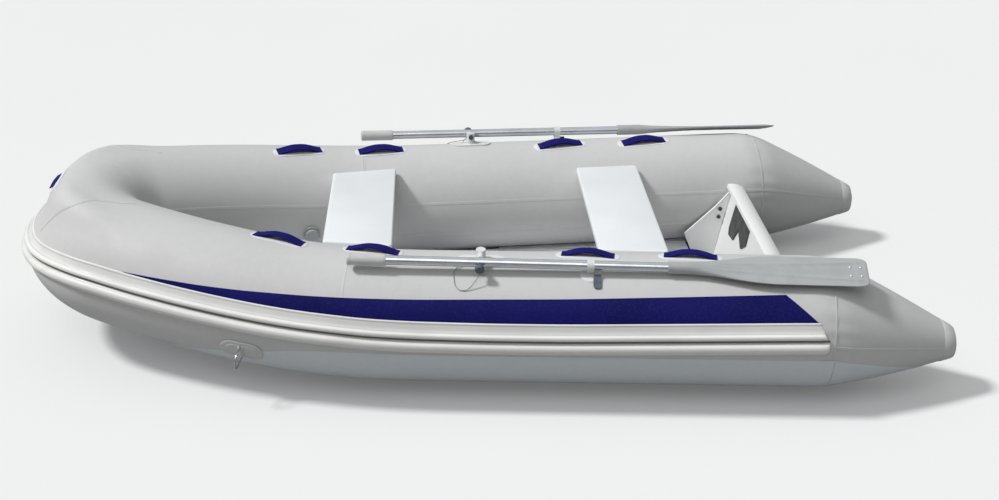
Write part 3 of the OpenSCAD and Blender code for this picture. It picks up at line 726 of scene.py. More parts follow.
def stitched(name, rows, fit):
    """Stitches along rows of points, made with Geometry Nodes and returned as a plain mesh."""
    obj = shown(name, polyline(name, rows))
    tree = bpy.data.node_groups.new(name, "GeometryNodeTree")
    values = {"Spacing": ("Float", fit.stitch_gap), "Stitch Length": ("Float", fit.stitch / 2),
              "Stitch Radius": ("Float", THREAD_R), "Seed": ("Int", STITCH_SEED),
              "Thread": ("Material", FINISHES["thread"])}
    tree.interface.new_socket("Geometry", in_out="INPUT", socket_type="NodeSocketGeometry")
    for label, (kind, _) in values.items():
        tree.interface.new_socket(label, in_out="INPUT", socket_type="NodeSocket" + kind)
    tree.interface.new_socket("Geometry", in_out="OUTPUT", socket_type="NodeSocketGeometry")
    give, take = add_node(tree, "NodeGroupInput"), add_node(tree, "NodeGroupOutput")
    even = add_node(tree, "GeometryNodeResampleCurve", mode="LENGTH")
    tangent = add_node(tree, "GeometryNodeInputTangent")
    turn = add_node(tree, "FunctionNodeAlignRotationToVector", axis="Z")
    ball = add_node(tree, "GeometryNodeMeshUVSphere", {"Segments": 8, "Rings": 5})
    shape = add_node(tree, "ShaderNodeCombineXYZ")
    uneven = add_node(tree, "FunctionNodeRandomValue", data_type="FLOAT")
    uneven.inputs[2].default_value, uneven.inputs[3].default_value = STITCH_RANGE
    long = add_node(tree, "ShaderNodeMath", operation="MULTIPLY")
    spots = add_node(tree, "GeometryNodeInstanceOnPoints")
    real = add_node(tree, "GeometryNodeRealizeInstances")
    coat = add_node(tree, "GeometryNodeSetMaterial")
    wire(tree, (give, "Geometry", even, "Curve"), (give, "Spacing", even, "Length"),
         (even, "Curve", spots, "Points"), (tangent, 0, turn, "Vector"), (turn, 0, spots, "Rotation"),
         (ball, "Mesh", spots, "Instance"), (give, "Seed", uneven, "Seed"), (give, "Stitch Length", long, 0),
         (uneven, 1, long, 1), (give, "Stitch Radius", shape, "X"), (give, "Stitch Radius", shape, "Y"),
         (long, 0, shape, "Z"), (shape, 0, spots, "Scale"), (spots, 0, real, 0), (real, 0, coat, "Geometry"),
         (give, "Thread", coat, "Material"), (coat, 0, take, 0))
    mod = obj.modifiers.new("Stitches", "NODES")
    mod.node_group = tree
    for item in tree.interface.items_tree:
        if item.in_out == "INPUT" and item.name in values:
            mod[item.identifier] = values[item.name][1]
    bpy.context.view_layer.update()
    depth = bpy.context.evaluated_depsgraph_get()
    mesh = bpy.data.meshes.new_from_object(obj.evaluated_get(depth))
    obj.modifiers.remove(mod)
    bpy.data.objects.remove(obj)
    if not mesh.polygons:
        raise RuntimeError(f"{name}: the stitches came out empty")
    mesh.shade_smooth()
    return shown(name, mesh)


# Stage


# The camera, fitted to the photograph together with the hull
LENS, SENSOR, SHIFT = 51.24, 36.0, (-0.0138, -0.0033)
YAW, PITCH, ROLL = -0.0611, 0.4226, 0.0088
EYE = (0.1146, 4.5903, 2.328)
# Half the floor's side, the grey that it throws on the hull, and the share of its own glow
FLOOR_REACH, FLOOR_DULL, FLOOR_GLOW = 14.0, 0.4, 0.15
# Brightness of the sky by height, as it lights the hull and as it is mirrored
SKY_LIGHT = ((0.0, 0.10), (0.3, 0.14), (0.6, 0.45), (1.0, 1.0))
SKY_GLINT = ((0.0, 0.10), (0.16, 0.16), (0.42, 0.55), (0.66, 0.95), (1.0, 0.7))
SKY_TINT, SKY_STRENGTH = (0.95, 0.99, 1.0), 0.55
# Name, strength, spread in degrees and heading of each lamp
LAMPS = (("key", 2.4, 9, (-0.61, -0.06, -0.79)), ("fill", 0.45, 40, (-0.22, -0.58, -0.78)))


def set_camera(scene):
    """The photograph's view."""
    cam = bpy.data.cameras.new("camera")
    cam.lens, cam.sensor_width = LENS, SENSOR
    cam.shift_x, cam.shift_y = SHIFT
    fore = Vector((math.sin(YAW) * math.cos(PITCH), -math.cos(YAW) * math.cos(PITCH), -math.sin(PITCH)))
    level = fore.cross(Vector((0, 0, 1))).normalized()
    upright = level.cross(fore)
    right = math.cos(ROLL) * level + math.sin(ROLL) * upright
    up = -math.sin(ROLL) * level + math.cos(ROLL) * upright
    scene.camera = shown("camera", cam)
    scene.camera.matrix_world = axes(right, up, -fore, EYE)


def lay_floor(scene):
    """A pale floor that glows a little to the eye and throws a duller light on the hull."""
    ground = scene.dinghy_colours.floor
    f = Finish("studio_floor", ground, 0.9, spec=0.1)
    f.mottled(0.4, 0.99, 1.0)
    dull = f.node("ShaderNodeBsdfDiffuse", {"Color": (FLOOR_DULL, FLOOR_DULL, FLOOR_DULL, 1)})
    ray = f.node("ShaderNodeLightPath")
    glow = f.node("ShaderNodeEmission", {"Color": (*ground, 1)})
    lift = f.node("ShaderNodeMixShader", {0: FLOOR_GLOW})
    split = f.node("ShaderNodeMixShader")
    wire(f.tree, (ray, "Is Camera Ray", split, 0), (dull, 0, split, 1), (f.skin, 0, lift, 1),
         (glow, 0, lift, 2), (lift, 0, split, 2), (split, 0, f.out, 0))
    corners = [(x * FLOOR_REACH, y * FLOOR_REACH, 0) for x, y in ((-1, -1), (1, -1), (1, 1), (-1, 1))]
    floor = piece("studio_floor", corners, [(0, 1, 2, 3)], "studio_floor")


def light_sky(scene):
    """A soft sky, with its own mirror image, behind a plain backdrop."""
    scene.world = bpy.data.worlds.new("studio")
    scene.world.use_nodes = True
    tree = scene.world.node_tree
    tree.nodes.clear()
    out = add_node(tree, "ShaderNodeOutputWorld")
    soft = add_node(tree, "ShaderNodeBackground", {"Strength": SKY_STRENGTH})
    glint = add_node(tree, "ShaderNodeBackground", {"Strength": 1.0})
    backdrop = (*scene.dinghy_colours.floor, 1)
    seen = add_node(tree, "ShaderNodeBackground", {"Strength": 1.0, "Color": backdrop})
    where = add_node(tree, "ShaderNodeTexCoord")
    split = add_node(tree, "ShaderNodeSeparateXYZ")
    wire(tree, (where, "Generated", split, 0))
    for light, stops in ((soft, SKY_LIGHT), (glint, SKY_GLINT)):
        sky = add_node(tree, "ShaderNodeValToRGB")
        steps = sky.color_ramp.elements
        for k, (at, value) in enumerate(stops):
            stop = steps[k] if k < 2 else steps.new(at)
            stop.position, stop.color = at, (*(value * t for t in SKY_TINT), 1)
        wire(tree, (split, "Z", sky, 0), (sky, 0, light, "Color"))
    path = add_node(tree, "ShaderNodeLightPath")
    clear = add_node(tree, "ShaderNodeMath", operation="MAXIMUM")
    pick, last = add_node(tree, "ShaderNodeMixShader"), add_node(tree, "ShaderNodeMixShader")
    wire(tree, (path, "Is Camera Ray", clear, 0), (path, "Is Transmission Ray", clear, 1),
         (path, "Is Glossy Ray", pick, 0), (soft, 0, pick, 1), (glint, 0, pick, 2),
         (clear, 0, last, 0), (pick, 0, last, 1), (seen, 0, last, 2), (last, 0, out, 0))


def hang_lamps():
    """A key light from the bow and a wide fill from port."""
    for name, energy, spread, heading in LAMPS:
        sun = bpy.data.lights.new(name, "SUN")
        sun.energy, sun.angle = energy, math.radians(spread)
        shown(name, sun).matrix_world = Vector(heading).to_track_quat("-Z", "Y").to_matrix().to_4x4()


class DINGHY_OT_stage(bpy.types.Operator):
    """Finishes, camera, floor, sky and lamps"""
    bl_idname = "dinghy.stage"
    bl_label = "Stage"

    def execute(self, context):
        make_finishes()
        set_camera(context.scene)
        lay_floor(context.scene)
        light_sky(context.scene)
        hang_lamps()
        context.scene.view_settings.view_transform = "Standard"
        return {"FINISHED"}


# Pieces


# Station and angle of the rowlocks
ROWLOCK_X, ROWLOCK_A = -0.034, 7.5
# The lanyard's way in millimetres, in the rowlock's frame, from the knob back to the base
LANYARD = (
    (0, 97, 13.2), (6, 104, 4), (16, 110, -10), (30, 116, -26), (46, 120, -34), (62, 118, -33),
    (74, 108, -27), (80, 92, -18.5), (82, 74, -11), (80, 56, -5), (70, 40, 2), (56, 32, 6), (40, 24, 10),
    (26, 15, 14), (13.3, 7.7, 17),
)
LANYARD_STEPS = 41


class DINGHY_OT_lanyards(bpy.types.Operator):
    """Thin cords that keep the rowlock knobs"""
    bl_idname = "dinghy.lanyards"
    bl_label = "Lanyards"

    def execute(self, context):
        thick = context.scene.dinghy_fit.cord
        stand = sizes().stand(ROWLOCK_X, ROWLOCK_A)
        for side, flip in (("port", 1), ("starboard", -1)):
            knots = np.array([stand @ (Vector(p) / 1000) for p in LANYARD]) * (1, flip, 1)
            steps = np.linspace(0, len(knots) - 1, LANYARD_STEPS)
            fine = np.stack([curve_through(list(enumerate(k)), steps) for k in knots.T], -1)
            curve = polyline(f"{side}_knob_cord", [fine])
            curve.bevel_depth, curve.bevel_resolution = thick / 2, 3
            curve.use_fill_caps = True
            curve.materials.append(FINISHES["cord"])
            obj = shown(f"{side}_knob_cord", curve)
            place(obj, [f"{side}_lanyard"], f"{side}_rowlock")
            run = float(distances(fine)[-1])
        return {"FINISHED"}


# Angles of a ring, the step between rings along the tube and their count on a cone
AROUND = np.arange(0, 360, 2.5)
RING_STEP, CONE_RINGS = 0.012, 40
# Depth of the dents at the cone's seam, how far they fade, and the cone's length as they count it
GATHER, GATHER_FADE, GATHER_CONE = 0.0010, 0.06, 0.4
# Count of the dents round the seam, and how much and how often their spacing wavers
GATHERS, WAVER, WAVERS = 19, 1.6, 5
# Share of the tube's radius and place along it, over the chamber wall's two faces
WALL = ((1, 0), (0.8, 0.012), (0.5, 0.024), (0.02, 0.03), (0.02, 0.0285), (0.5, 0.0225), (0.8, 0.0105),
        (1, -0.0015))
# How far the wall's rim sits inside the skin, and how deep the wall is
WALL_INSIDE, WALL_DEPTH = 0.002, 0.03


class DINGHY_OT_tubes(bpy.types.Operator):
    """Inflated side and bow tubes, stern cones and the walls between chambers"""
    bl_idname = "dinghy.tubes"
    bl_label = "Tubes"

    def skin(self, name, at, places, scale=1.0):
        """Rings of fabric with small dents where it gathers at the cone's seam."""
        turn = np.radians(AROUND)
        waves = 1 + np.sin(GATHERS * turn + WAVER * np.sin(WAVERS * turn))
        rings = []
        for s in places:
            dents = -GATHER * waves * math.exp(-(s * scale / GATHER_FADE) ** 2)
            rings.append(at(np.full(len(AROUND), s), AROUND, dents))
        return loft(name, rings, "hull_fabric", 60)

    def execute(self, context):
        line = sizes()
        seam = line.run_at(line.seam_x)
        tube = self.skin("port_tube_skin", line.at, spaced(0, seam, RING_STEP))
        place_pair(tube, "tube_skin", "tube")
        bow = self.skin("bow_tube_skin", line.at, spaced(seam, 2 * line.half - seam, RING_STEP))
        place(bow, ["bow_tube"])
        cone = self.skin("port_cone_skin", line.cone_at, np.linspace(0, 1, CONE_RINGS), GATHER_CONE)
        place_pair(cone, "cone_skin", "cone")
        rim = line.at(np.full(len(AROUND), seam), AROUND, -WALL_INSIDE)
        middle = rim.mean(0)
        walls = [middle + (rim - middle) * f + np.array([t - WALL_DEPTH, 0, 0]) for f, t in WALL]
        wall = loft("port_wall", walls, "trim_fabric")
        place(joined("chamber_walls", with_twins([wall])), ["baffles"])
        return {"FINISHED"}


# Stations of the sheer tape, runs of the cone's tape, and the angles that both go over
SHEER_TAPE, CONE_TAPE, HOOP = (0.386, 0.392), (0.001, 0.007), spaced(-170, 170, 2)
# Ease and rise of both, then edges, ease and rise of the cone's end band and of the bow panels' tape
HOOP_TAPE = ((0.0012, 0.0012), (0.00024, 0.0006))
END_BAND = ((0.90, 0.99), (0.003, 0.005), (0.0008, 0.0016))
BOW_BAND = ((-0.007, 0.007), (0.001, 0.001), (0.0005, 0.0013))
# Angles of the edges and thickness of the seams along the tube and along the cone
TUBE_SEAMS = (("inner_seam", -74.6, -71.4, 0.0007), ("under_seam", -110, -107, 0.0009))
CONE_SEAMS = (("cone_inner_seam", -74.6, -71.4, 0.0007), ("cone_outer_seam", 86, 89, 0.0009))
# Stations where the tube's seams end and from which the bow panels' tape is measured
SEAM_END_X, BOW_TAPE_X = 1.14, 1.30
# Run of that tape by angle
BOW_TAPE = ((-8, -0.29), (1, -0.25), (7, -0.21), (14, -0.181), (25, -0.167), (32, -0.154), (40, -0.13),
            (52, -0.101), (66, -0.083), (72, -0.076))


class DINGHY_OT_seams(bpy.types.Operator):
    """Welded seam tapes on the tubes and cones"""
    bl_idname = "dinghy.seams"
    bl_label = "Seam tapes"

    def execute(self, context):
        line = sizes()
        sides = [tape("sheer_tape", line.at, line.runs_at(SHEER_TAPE), *HOOP_TAPE, HOOP),
                 tape("cone_tape", line.at, CONE_TAPE, *HOOP_TAPE, HOOP)]
        for seams, at, runs in ((TUBE_SEAMS, line.at, spaced(0.0, line.run_at(SEAM_END_X), 0.02)),
                                (CONE_SEAMS, line.cone_at, np.linspace(0.0, 0.93, 24))):
            sides += [band(name, at, runs, low, high, thick, "hull_fabric")
                      for name, low, high, thick in seams]
        sides.append(tape("cone_end_band", line.cone_at, *END_BAND, np.linspace(-180, 180, 61)))
        over = np.linspace(-6, 70, 50)
        sides.append(tape("bow_panel_tape", line.at, *BOW_BAND, over,
                          line.run_at(BOW_TAPE_X) + curve_through(BOW_TAPE, over)))
        place(joined("seam_tapes", with_twins(sides)))
        return {"FINISHED"}


# Angles of the strake's upper and lower edge
STRAKE_TOP_A, STRAKE_LOW_A = 70.0, 98.0
# Station of the strake's aft end by angle
STRAKE_END = ((70, 80, 86, 94, 98), (-1.080, -1.096, -1.112, -1.110, -1.100))
# Strength, middle and width of the dark lines in the section: painted shade in the groove, with some dirt,
# and painted shade in the creases under the lip and at the foot of the first rib
STRAKE_SHADE_AND_DIRT = ((1, GROOVE_A, 1.3), (0.25, 72.2, 0.6), (0.3, 79.0, 0.5))
# Share of the run at the strake's start, and of its height there
STRAKE_START = ((0, 0.55), (0.0012, 0.92), (0.004, 1.0))
# Height of the strake's back over the skin, and its rings along one side
STRAKE_BACK, STRAKE_RINGS = 0.0002, 170


class DINGHY_OT_strake(bpy.types.Operator):
    """Extruded rub strake with its ribs and groove"""
    bl_idname = "dinghy.strake"
    bl_label = "Rub strake"

    def execute(self, context):
        line = sizes()
        top = context.scene.dinghy_hull.rib
        section = (
            (STRAKE_TOP_A, 0.0006), (70.4, 0.0036), (71.4, 0.0042), (72.2, 0.0030), (78.2, 0.0034),
            (79.4, 0.006), (80.6, 0.0122), (82.0, 0.0138), (83.4, 0.0122), (84.6, 0.006), (85.4, 0.0034),
            (86.4, 0.0034), (87.4, 0.0062), (88.8, top * 0.8), (91.4, top), (94.2, top * 0.8),
            (95.8, 0.0062), (96.6, 0.0036), (97.6, 0.0032), (STRAKE_LOW_A, 0.0006))
        a = np.linspace(STRAKE_TOP_A, STRAKE_LOW_A, 120)
        back = a[::-1][::4]
        # dark is painted shade in the groove and creases, with some dirt in the groove
        dark = sum(weight * swell(a, middle, width) for weight, middle, width in STRAKE_SHADE_AND_DIRT)
        ring_a = np.concatenate((a, back))
        ring_h = np.concatenate((curve_through(section, a), np.full(len(back), STRAKE_BACK)))
        marks = np.concatenate((np.clip(dark, 0, 1), np.zeros(len(back))))
        start = line.runs_at(np.interp(ring_a, *STRAKE_END))
        steps = STRAKE_START + tuple((f, 1.0) for f in np.linspace(0.012, 1, STRAKE_RINGS))
        rings = []
        for f, height in steps:
            run = start + (line.half - start) * f
            rings.append(line.at(run, ring_a - GROOVE_A + line.belt(run), ring_h * height))
        rings += [ring * (1, -1, 1) for ring in rings[-2::-1]]
        strip = loft("rub_strake_strip", rings, "strake_rubber", 50, marks)
        place(strip, ["rub_strake"])
        return {"FINISHED"}


# Angle of the stripe's upper edge by station, then the stations of its slanted aft end and its tip
STRIPE_TOP = ((-0.976, 41.2), (-0.7, 44.2), (-0.5, 46.2), (-0.3, 48.0), (-0.1, 49.0), (0.1, 50.0),
              (0.3, 51.0), (0.4, 52.2), (0.5, 54.0), (0.6, 56.3), (0.7, 59.4), (0.8, 62.4), (0.9, 65.0),
              (1.034, 68.6))
STRIPE_AFT, STRIPE_SLANT, STRIPE_FORE = -1.081, -0.976, 1.034
# Angles of the aft end, of the lower edge in the strake's section, least width and film
STRIPE_AFT_A, STRIPE_LOW_A, STRIPE_LEAST, STRIPE_FILM = (66.5, 41.2), 69.9, 0.05, 0.0012


class DINGHY_OT_stripes(bpy.types.Operator):
    """Painted stripes over the strake, tapering to the bow"""
    bl_idname = "dinghy.stripes"
    bl_label = "Stripes"

    def execute(self, context):
        line = sizes()
        xs = np.concatenate((spaced(STRIPE_AFT, STRIPE_SLANT, 0.004), spaced(-0.965, STRIPE_FORE, 0.012)))
        slant = np.interp(xs, (STRIPE_AFT, STRIPE_SLANT), STRIPE_AFT_A)
        upper = np.where(xs < STRIPE_SLANT, slant, curve_through(STRIPE_TOP, xs))
        runs = line.runs_at(xs)
        lower = line.belt(runs) - GROOVE_A + STRIPE_LOW_A
        upper = np.minimum(upper, lower - STRIPE_LEAST)
        film = band("port_stripe_film", line.at, runs, upper, lower, STRIPE_FILM, "stripe_paint", cells=14)
        place_pair(film, "stripe_film", "stripe")
        return {"FINISHED"}


# Angle of the lap's upper edge by station on the tube, and by share of the cone
LAP_EDGE = ((-1.14, 99.5), (0.2, 99.5), (0.4, 101.0), (0.499, 104.6), (0.65, 116.8), (0.8, 132), (0.963, 152),
            (1.09, 173))
CONE_LAP_EDGE = ((0, 99.5), (0.35, 111), (0.65, 132), (0.86, 168))
LAP_LOW_A, LAP_FORE, LAP_THICK, CONE_LAP_THICK = 176, 1.10, 0.0014, 0.0012
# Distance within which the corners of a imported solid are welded
WELD = 0.00005


class DINGHY_OT_bottom(bpy.types.Operator):
    """Bottom lap on the tubes, the bottom sheet and the inflated keel"""
    bl_idname = "dinghy.bottom"
    bl_label = "Bottom"

    def smoothed(self, node, finish):
        """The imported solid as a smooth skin."""
        bm = bmesh.new()
        bm.from_mesh(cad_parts[node].data)
        bmesh.ops.remove_doubles(bm, verts=bm.verts, dist=WELD)
        mesh = bpy.data.meshes.new(node + "_skin")
        bm.to_mesh(mesh)
        bm.free()
        mesh.shade_smooth()
        mesh.set_sharp_from_angle(angle=math.radians(50))
        mesh.materials.append(FINISHES[finish])
        place(shown(node + "_skin", mesh), [node])

    def execute(self, context):
        line = sizes()
        xs = spaced(line.cone_x + 0.002, LAP_FORE, 0.014)
        lap = band("port_lap", line.at, line.runs_at(xs), curve_through(LAP_EDGE, xs), LAP_LOW_A, LAP_THICK,
                   "bottom_fabric", cells=16)
        ts = np.linspace(0, CONE_LAP_EDGE[-1][0], 30)
        cone = band("port_cone_lap", line.cone_at, ts, curve_through(CONE_LAP_EDGE, ts), LAP_LOW_A,
                    CONE_LAP_THICK, "bottom_fabric", cells=12)
        place(joined("bottom_lap_film", with_twins([lap, cone])), ["bottom_lap"])
        self.smoothed("bottom_sheet", "bottom_fabric")
        self.smoothed("keel_tube", "hull_fabric")
        return {"FINISHED"}


# Stations of the handles on each side, their angle and how far they toe in
HANDLES = (0.637, 0.319, -0.371, -0.695)
HANDLE_A, HANDLE_TOE = -6.0, math.radians(6)
# Half length and thickness of a handle's webbing, and thickness of the pads
HANDLE_HALF, HANDLE_THICK, PAD_THICK = 0.084, 0.0055, 0.0024
# Angle, half length, rise, width and thickness of the bow strap
BOW_STRAP_A, BOW_STRAP_HALF, BOW_STRAP_RISE, BOW_STRAP_W, BOW_STRAP_THICK = 36, 0.056, 0.0070, 0.028, 0.003
# Size of the bow pad, and its outline and thickness as in PATCH
BOW_PAD_SIZE = (0.130, 0.056)
BOW_PAD = ((0.02, 1), (0.5, 1), (0.86, 1), (0.94, 0.95), (0.98, 0.75), (1, 0.3),
           (1, -1), (0.5, -1), (0.02, -1))
# Height of a strap's sewn end, the share of it that lies flat, its run into the arch and the arch's power
STRAP_FOOT, STRAP_FLAT, STRAP_RUN, STRAP_ARCH = 0.0046, 0.16, 0.55, 1.25
# A strap's section by half width and thickness
STRAP_SECTION = ((-1, 0.0), (-0.94, 0.46), (-0.8, 0.5), (0, 0.5), (0.8, 0.5), (0.94, 0.46), (1, 0.0),
                 (0.94, -0.46), (0.8, -0.5), (0, -0.5), (-0.8, -0.5), (-0.94, -0.46))
# Rows of stitching by share of the half length, their height and their share of the width
STITCH_ROWS, STITCH_H, STITCH_W = (0.03, 0.11), 0.0049, 0.42
# Station and angle of the towing ring, and its height over the skin
RING_X, RING_A, RING_LIFT = 0.669, 116.5, 0.009
# Length, width and height of the two patches that hold it, and their reach under the skin, here over it
RING_PATCHES = (("ring_pad", 0.132, 0.076, 0.005, -0.0018), ("ring_step", 0.100, 0.052, 0.0062, -0.0045))
# Place along the ring's sleeve and its radius there
SLEEVE = ((-0.0220, 0.0036), (-0.0220, 0.0062), (-0.0212, 0.0069), (0.0212, 0.0069), (0.0220, 0.0062),
          (0.0220, 0.0036))
# Radius from which the sleeve's lower half is widened, and by what share
SLEEVE_BORE, SLEEVE_SKIRT = 0.005, 0.5


class DINGHY_OT_handles(bpy.types.Operator):
    """Webbing handles, their pads and stitching, and the towing rings' patches"""
    bl_idname = "dinghy.handles"
    bl_label = "Handles"

    def strap(self, name, stand, half, rise, width, thick):
        """An arched strap whose ends lie flat, and the lines of its stitching."""
        x = np.linspace(-half, half, 41)
        u = np.clip((1 - np.abs(x) / half) / (1 - STRAP_FLAT) - STRAP_FLAT * STRAP_RUN, 0, 1)
        z = STRAP_FOOT + (rise - STRAP_FOOT) * np.sin(u * math.pi / 2) ** STRAP_ARCH
        rings = []
        for xi, zi, slope in zip(x, z, np.gradient(z, x)):
            up = Vector((-slope, 0, 1)).normalized() * thick
            rings.append([stand @ (Vector((xi, across * width / 2, zi - thick / 2)) + up * lift)
                          for across, lift in STRAP_SECTION])
        sewn = np.linspace(-width * STITCH_W, width * STITCH_W, 9)
        lines = [[stand @ Vector((end * half * (1 - row), y, STITCH_H)) for y in sewn]
                 for end in (-1, 1) for row in STITCH_ROWS]
        return loft(name, rings, "webbing", 50), lines

    def sleeve(self, line):
        """The fabric sleeve round the towing ring's straight side."""
        stand = line.stand(RING_X, RING_A) @ Matrix.Rotation(math.pi / 2, 4, "Z")
        turn = np.linspace(0, 2 * math.pi, 28, endpoint=False)
        rings = []
        for x, radius in SLEEVE:
            y, z = radius * np.cos(turn), RING_LIFT + radius * np.sin(turn)
            skirt = np.where((z < RING_LIFT) & (radius > SLEEVE_BORE), SLEEVE_SKIRT, 0.0)
            rings.append([stand @ Vector((x, b, c)) for b, c in zip(y * (1 + skirt), z)])
        return loft("ring_sleeve", rings, "hull_fabric", 50)

    def execute(self, context):
        line, fit = sizes(), context.scene.dinghy_fit
        straps, rows, pads = [], [], []
        outline = pill(fit.pad_l, fit.pad_w) @ np.array(Matrix.Rotation(HANDLE_TOE, 2))
        for k, x in enumerate(HANDLES):
            stand = line.stand(x, HANDLE_A) @ Matrix.Rotation(-HANDLE_TOE, 4, "Z")
            strap, lines = self.strap(f"handle_{k}", stand, HANDLE_HALF, fit.strap_rise, fit.strap_w,
                                      HANDLE_THICK)
            straps.append(strap)
            rows += lines
            pads.append(patch(f"pad_{k}", line, line.run_at(x), HANDLE_A, outline, PAD_THICK, "trim_fabric"))
        straps.append(stitched("port_stitches", rows, fit))
        place_pair(joined("port_handle_straps", straps), "handle_straps", "handles")

        o, fore = Vector(line.at(line.half, BOW_STRAP_A)), Vector((0, 1, 0))
        up = (Vector(line.at(line.half, BOW_STRAP_A, PROBE_UP)) - o).normalized()
        stand = axes(fore, up.cross(fore), up, o)
        strap, lines = self.strap("bow_strap", stand, BOW_STRAP_HALF, BOW_STRAP_RISE, BOW_STRAP_W,
                                  BOW_STRAP_THICK)
        thread = stitched("bow_stitches", lines, fit)
        place(joined("bow_handle_strap", [strap, thread]), ["bow_handle"])
        pads = with_twins(pads)
        pads.append(patch("bow_pad", line, line.half, BOW_STRAP_A, pill(*BOW_PAD_SIZE), PAD_THICK,
                          "trim_fabric", stages=BOW_PAD))
        place(joined("handle_pad_set", pads), ["handle_pads"])

        run = line.run_at(RING_X)
        port = [patch(name, line, run, RING_A, pill(l, w), thick, "hull_fabric", under)
                for name, l, w, thick, under in RING_PATCHES]
        port.append(self.sleeve(line))
        place(joined("ring_patch_set", with_twins(port)), ["ring_patches"])
        return {"FINISHED"}


# How far the stowed oar dips aft, and its shaft's place outboard and up from the rowlock's foot
OAR_DIP, SHAFT_OFF, PIN_H = math.radians(0.83), 0.058, 0.030
# Where the blade begins on the oar, its end from there and its lean
BLADE_START, BLADE_END, BLADE_TILT = -0.582, -0.62, math.radians(16)
# Half width of the blade's neck and half thickness of the blade by place, and where its full width begins
BLADE_WIDE_X = -0.33
BLADE_NECK = ((-0.27, 0.053), (-0.2, 0.041), (-0.14, 0.029), (-0.09, 0.0215), (-0.05, 0.019), (0, 0.019))
BLADE_DEEP = ((-0.62, 0.0036), (-0.3, 0.0042), (-0.2, 0.0075), (-0.13, 0.014), (-0.09, 0.0185),
              (-0.06, 0.019), (0, 0.019))
# Where the fine rings of its end begin, and their run
TIP_X, TIP_RUN = -0.58, 0.04
# Where the blade's corners and its edge begin to round, and the corners' radius and the edge's run
CORNER_X, CORNER_R, EDGE_X, EDGE_RUN = -0.585, 0.019, -0.612, 0.0085
# Width and height of a ridge, how far apart they start and how much they open
RIDGE_W, RIDGE_H, RIDGE_APART, RIDGE_OPEN = 0.0052, 0.0034, 0.010, 0.026
# How much the section flattens, and the power by which the ridges fade to the edges
BLADE_FLAT, RIDGE_FADE = 0.45, 0.3
# Places between which the section flattens and the ridges open, rise and end
FLATTEN, OPEN, RISE, STOP = (-0.08, -0.28), (-0.12, -0.59), (-0.11, -0.20), (-0.606, -0.586)
RIVETS = ((-0.565, 0.018), (-0.598, 0.018), (-0.565, -0.018), (-0.598, -0.018))
# Radius and height over a rivet's head
RIVET = ((0.0042, -0.0052), (0.0042, 0.0046), (0.0036, 0.0056), (0.002, 0.0062), (0.0003, 0.0064))


def oar_stand(line):
    """Frame of the port oar: local x to the grip, y outboard, z up."""
    pin = line.stand(ROWLOCK_X, ROWLOCK_A) @ Matrix.Translation((0, SHAFT_OFF, PIN_H))
    return pin @ Matrix.Rotation(-OAR_DIP, 4, "Y")


class DINGHY_OT_oars(bpy.types.Operator):
    """Ribbed oar blades with their rivets"""
    bl_idname = "dinghy.oars"
    bl_label = "Oar blades"

    def ring(self, x, half, deep):
        """The blade's section: round at its neck, flatter outward, with three ridges on each face."""
        t = np.linspace(0, 2 * math.pi, 96, endpoint=False)
        power = 1 - BLADE_FLAT * ramp(x, *FLATTEN)
        face = np.sign(np.sin(t))
        y = half * np.sign(np.cos(t)) * np.abs(np.cos(t)) ** power
        z = deep * face * np.abs(np.sin(t)) ** power
        apart = RIDGE_APART + RIDGE_OPEN * ramp(x, *OPEN)
        ridges = sum(swell(y, k * apart, RIDGE_W) for k in (-1, 0, 1))
        fade = ramp(x, *RISE) * ramp(x, *STOP)
        z = z + face * np.abs(np.sin(t)) ** RIDGE_FADE * ridges * RIDGE_H * fade
        return zip(y, z)

    def execute(self, context):
        line, fit = sizes(), context.scene.dinghy_fit
        root = oar_stand(line) @ Matrix.Translation((BLADE_START, 0, 0))
        stand = root @ Matrix.Rotation(-BLADE_TILT, 4, "X")
        tip = BLADE_END + TIP_RUN * (1 - np.sin(np.linspace(0, math.pi / 2, 14)))
        xs = np.concatenate((spaced(0, TIP_X, 0.008), tip))
        half = curve_through(((BLADE_WIDE_X, fit.blade_half),) + BLADE_NECK, xs)
        half = half - CORNER_R * (1 - np.sqrt(1 - ramp(xs, CORNER_X, BLADE_END) ** 2))
        rounded = np.sqrt(np.clip(1 - ((EDGE_X - xs) / EDGE_RUN) ** 2, 0.05, 1))
        deep = curve_through(BLADE_DEEP, xs) * np.where(xs < EDGE_X, rounded, 1)
        rings = [[stand @ Vector((x, y, z)) for y, z in self.ring(x, w, d)]
                 for x, w, d in zip(xs, half, deep)]
        parts = [loft("blade", rings, "grey_plastic", 55)]
        turn = np.linspace(0, 2 * math.pi, 20, endpoint=False)
        for x, y in RIVETS:
            head = [[stand @ Vector((x + r * math.cos(q), y + r * math.sin(q), h)) for q in turn]
                    for r, h in RIVET]
            parts.append(loft("rivet", head, "rail_alloy"))
        place_pair(joined("port_blade_form", parts), "blade_form", "blade", "oar")
        return {"FINISHED"}


# Station of the oar holder, angle and size of its pad
HOLDER_X, HOLDER_PAD_A, HOLDER_PAD_SIZE = -0.376, 23.0, (0.066, 0.0659)
# Sides of the strap: its play round the shaft and half the gap between its legs at the pad
STRAP_IN, STRAP_OUT = (0.0006, 0.0055), (0.0034, 0.0082)
# Height of the legs' ends over the skin, the sweep round the shaft and the strap's rings along it
LEG_H, STRAP_SWEEP = 0.003, np.radians(np.linspace(-62, 242, 46))
STRAP_EDGES = (-0.011, -0.0105, 0.0105, 0.011)
# Station, angle and thickness of the strap's loose tail
TAIL_X, TAIL_A, TAIL_THICK = -0.397, 32, 0.0022
# Place down the tail, its height and half width
TAIL = ((-0.022, 0.012, 0.011), (-0.012, 0.0085, 0.012), (0.0, 0.0062, 0.0125), (0.012, 0.005, 0.0125),
        (0.02, 0.0048, 0.011), (0.024, 0.0047, 0.0065))


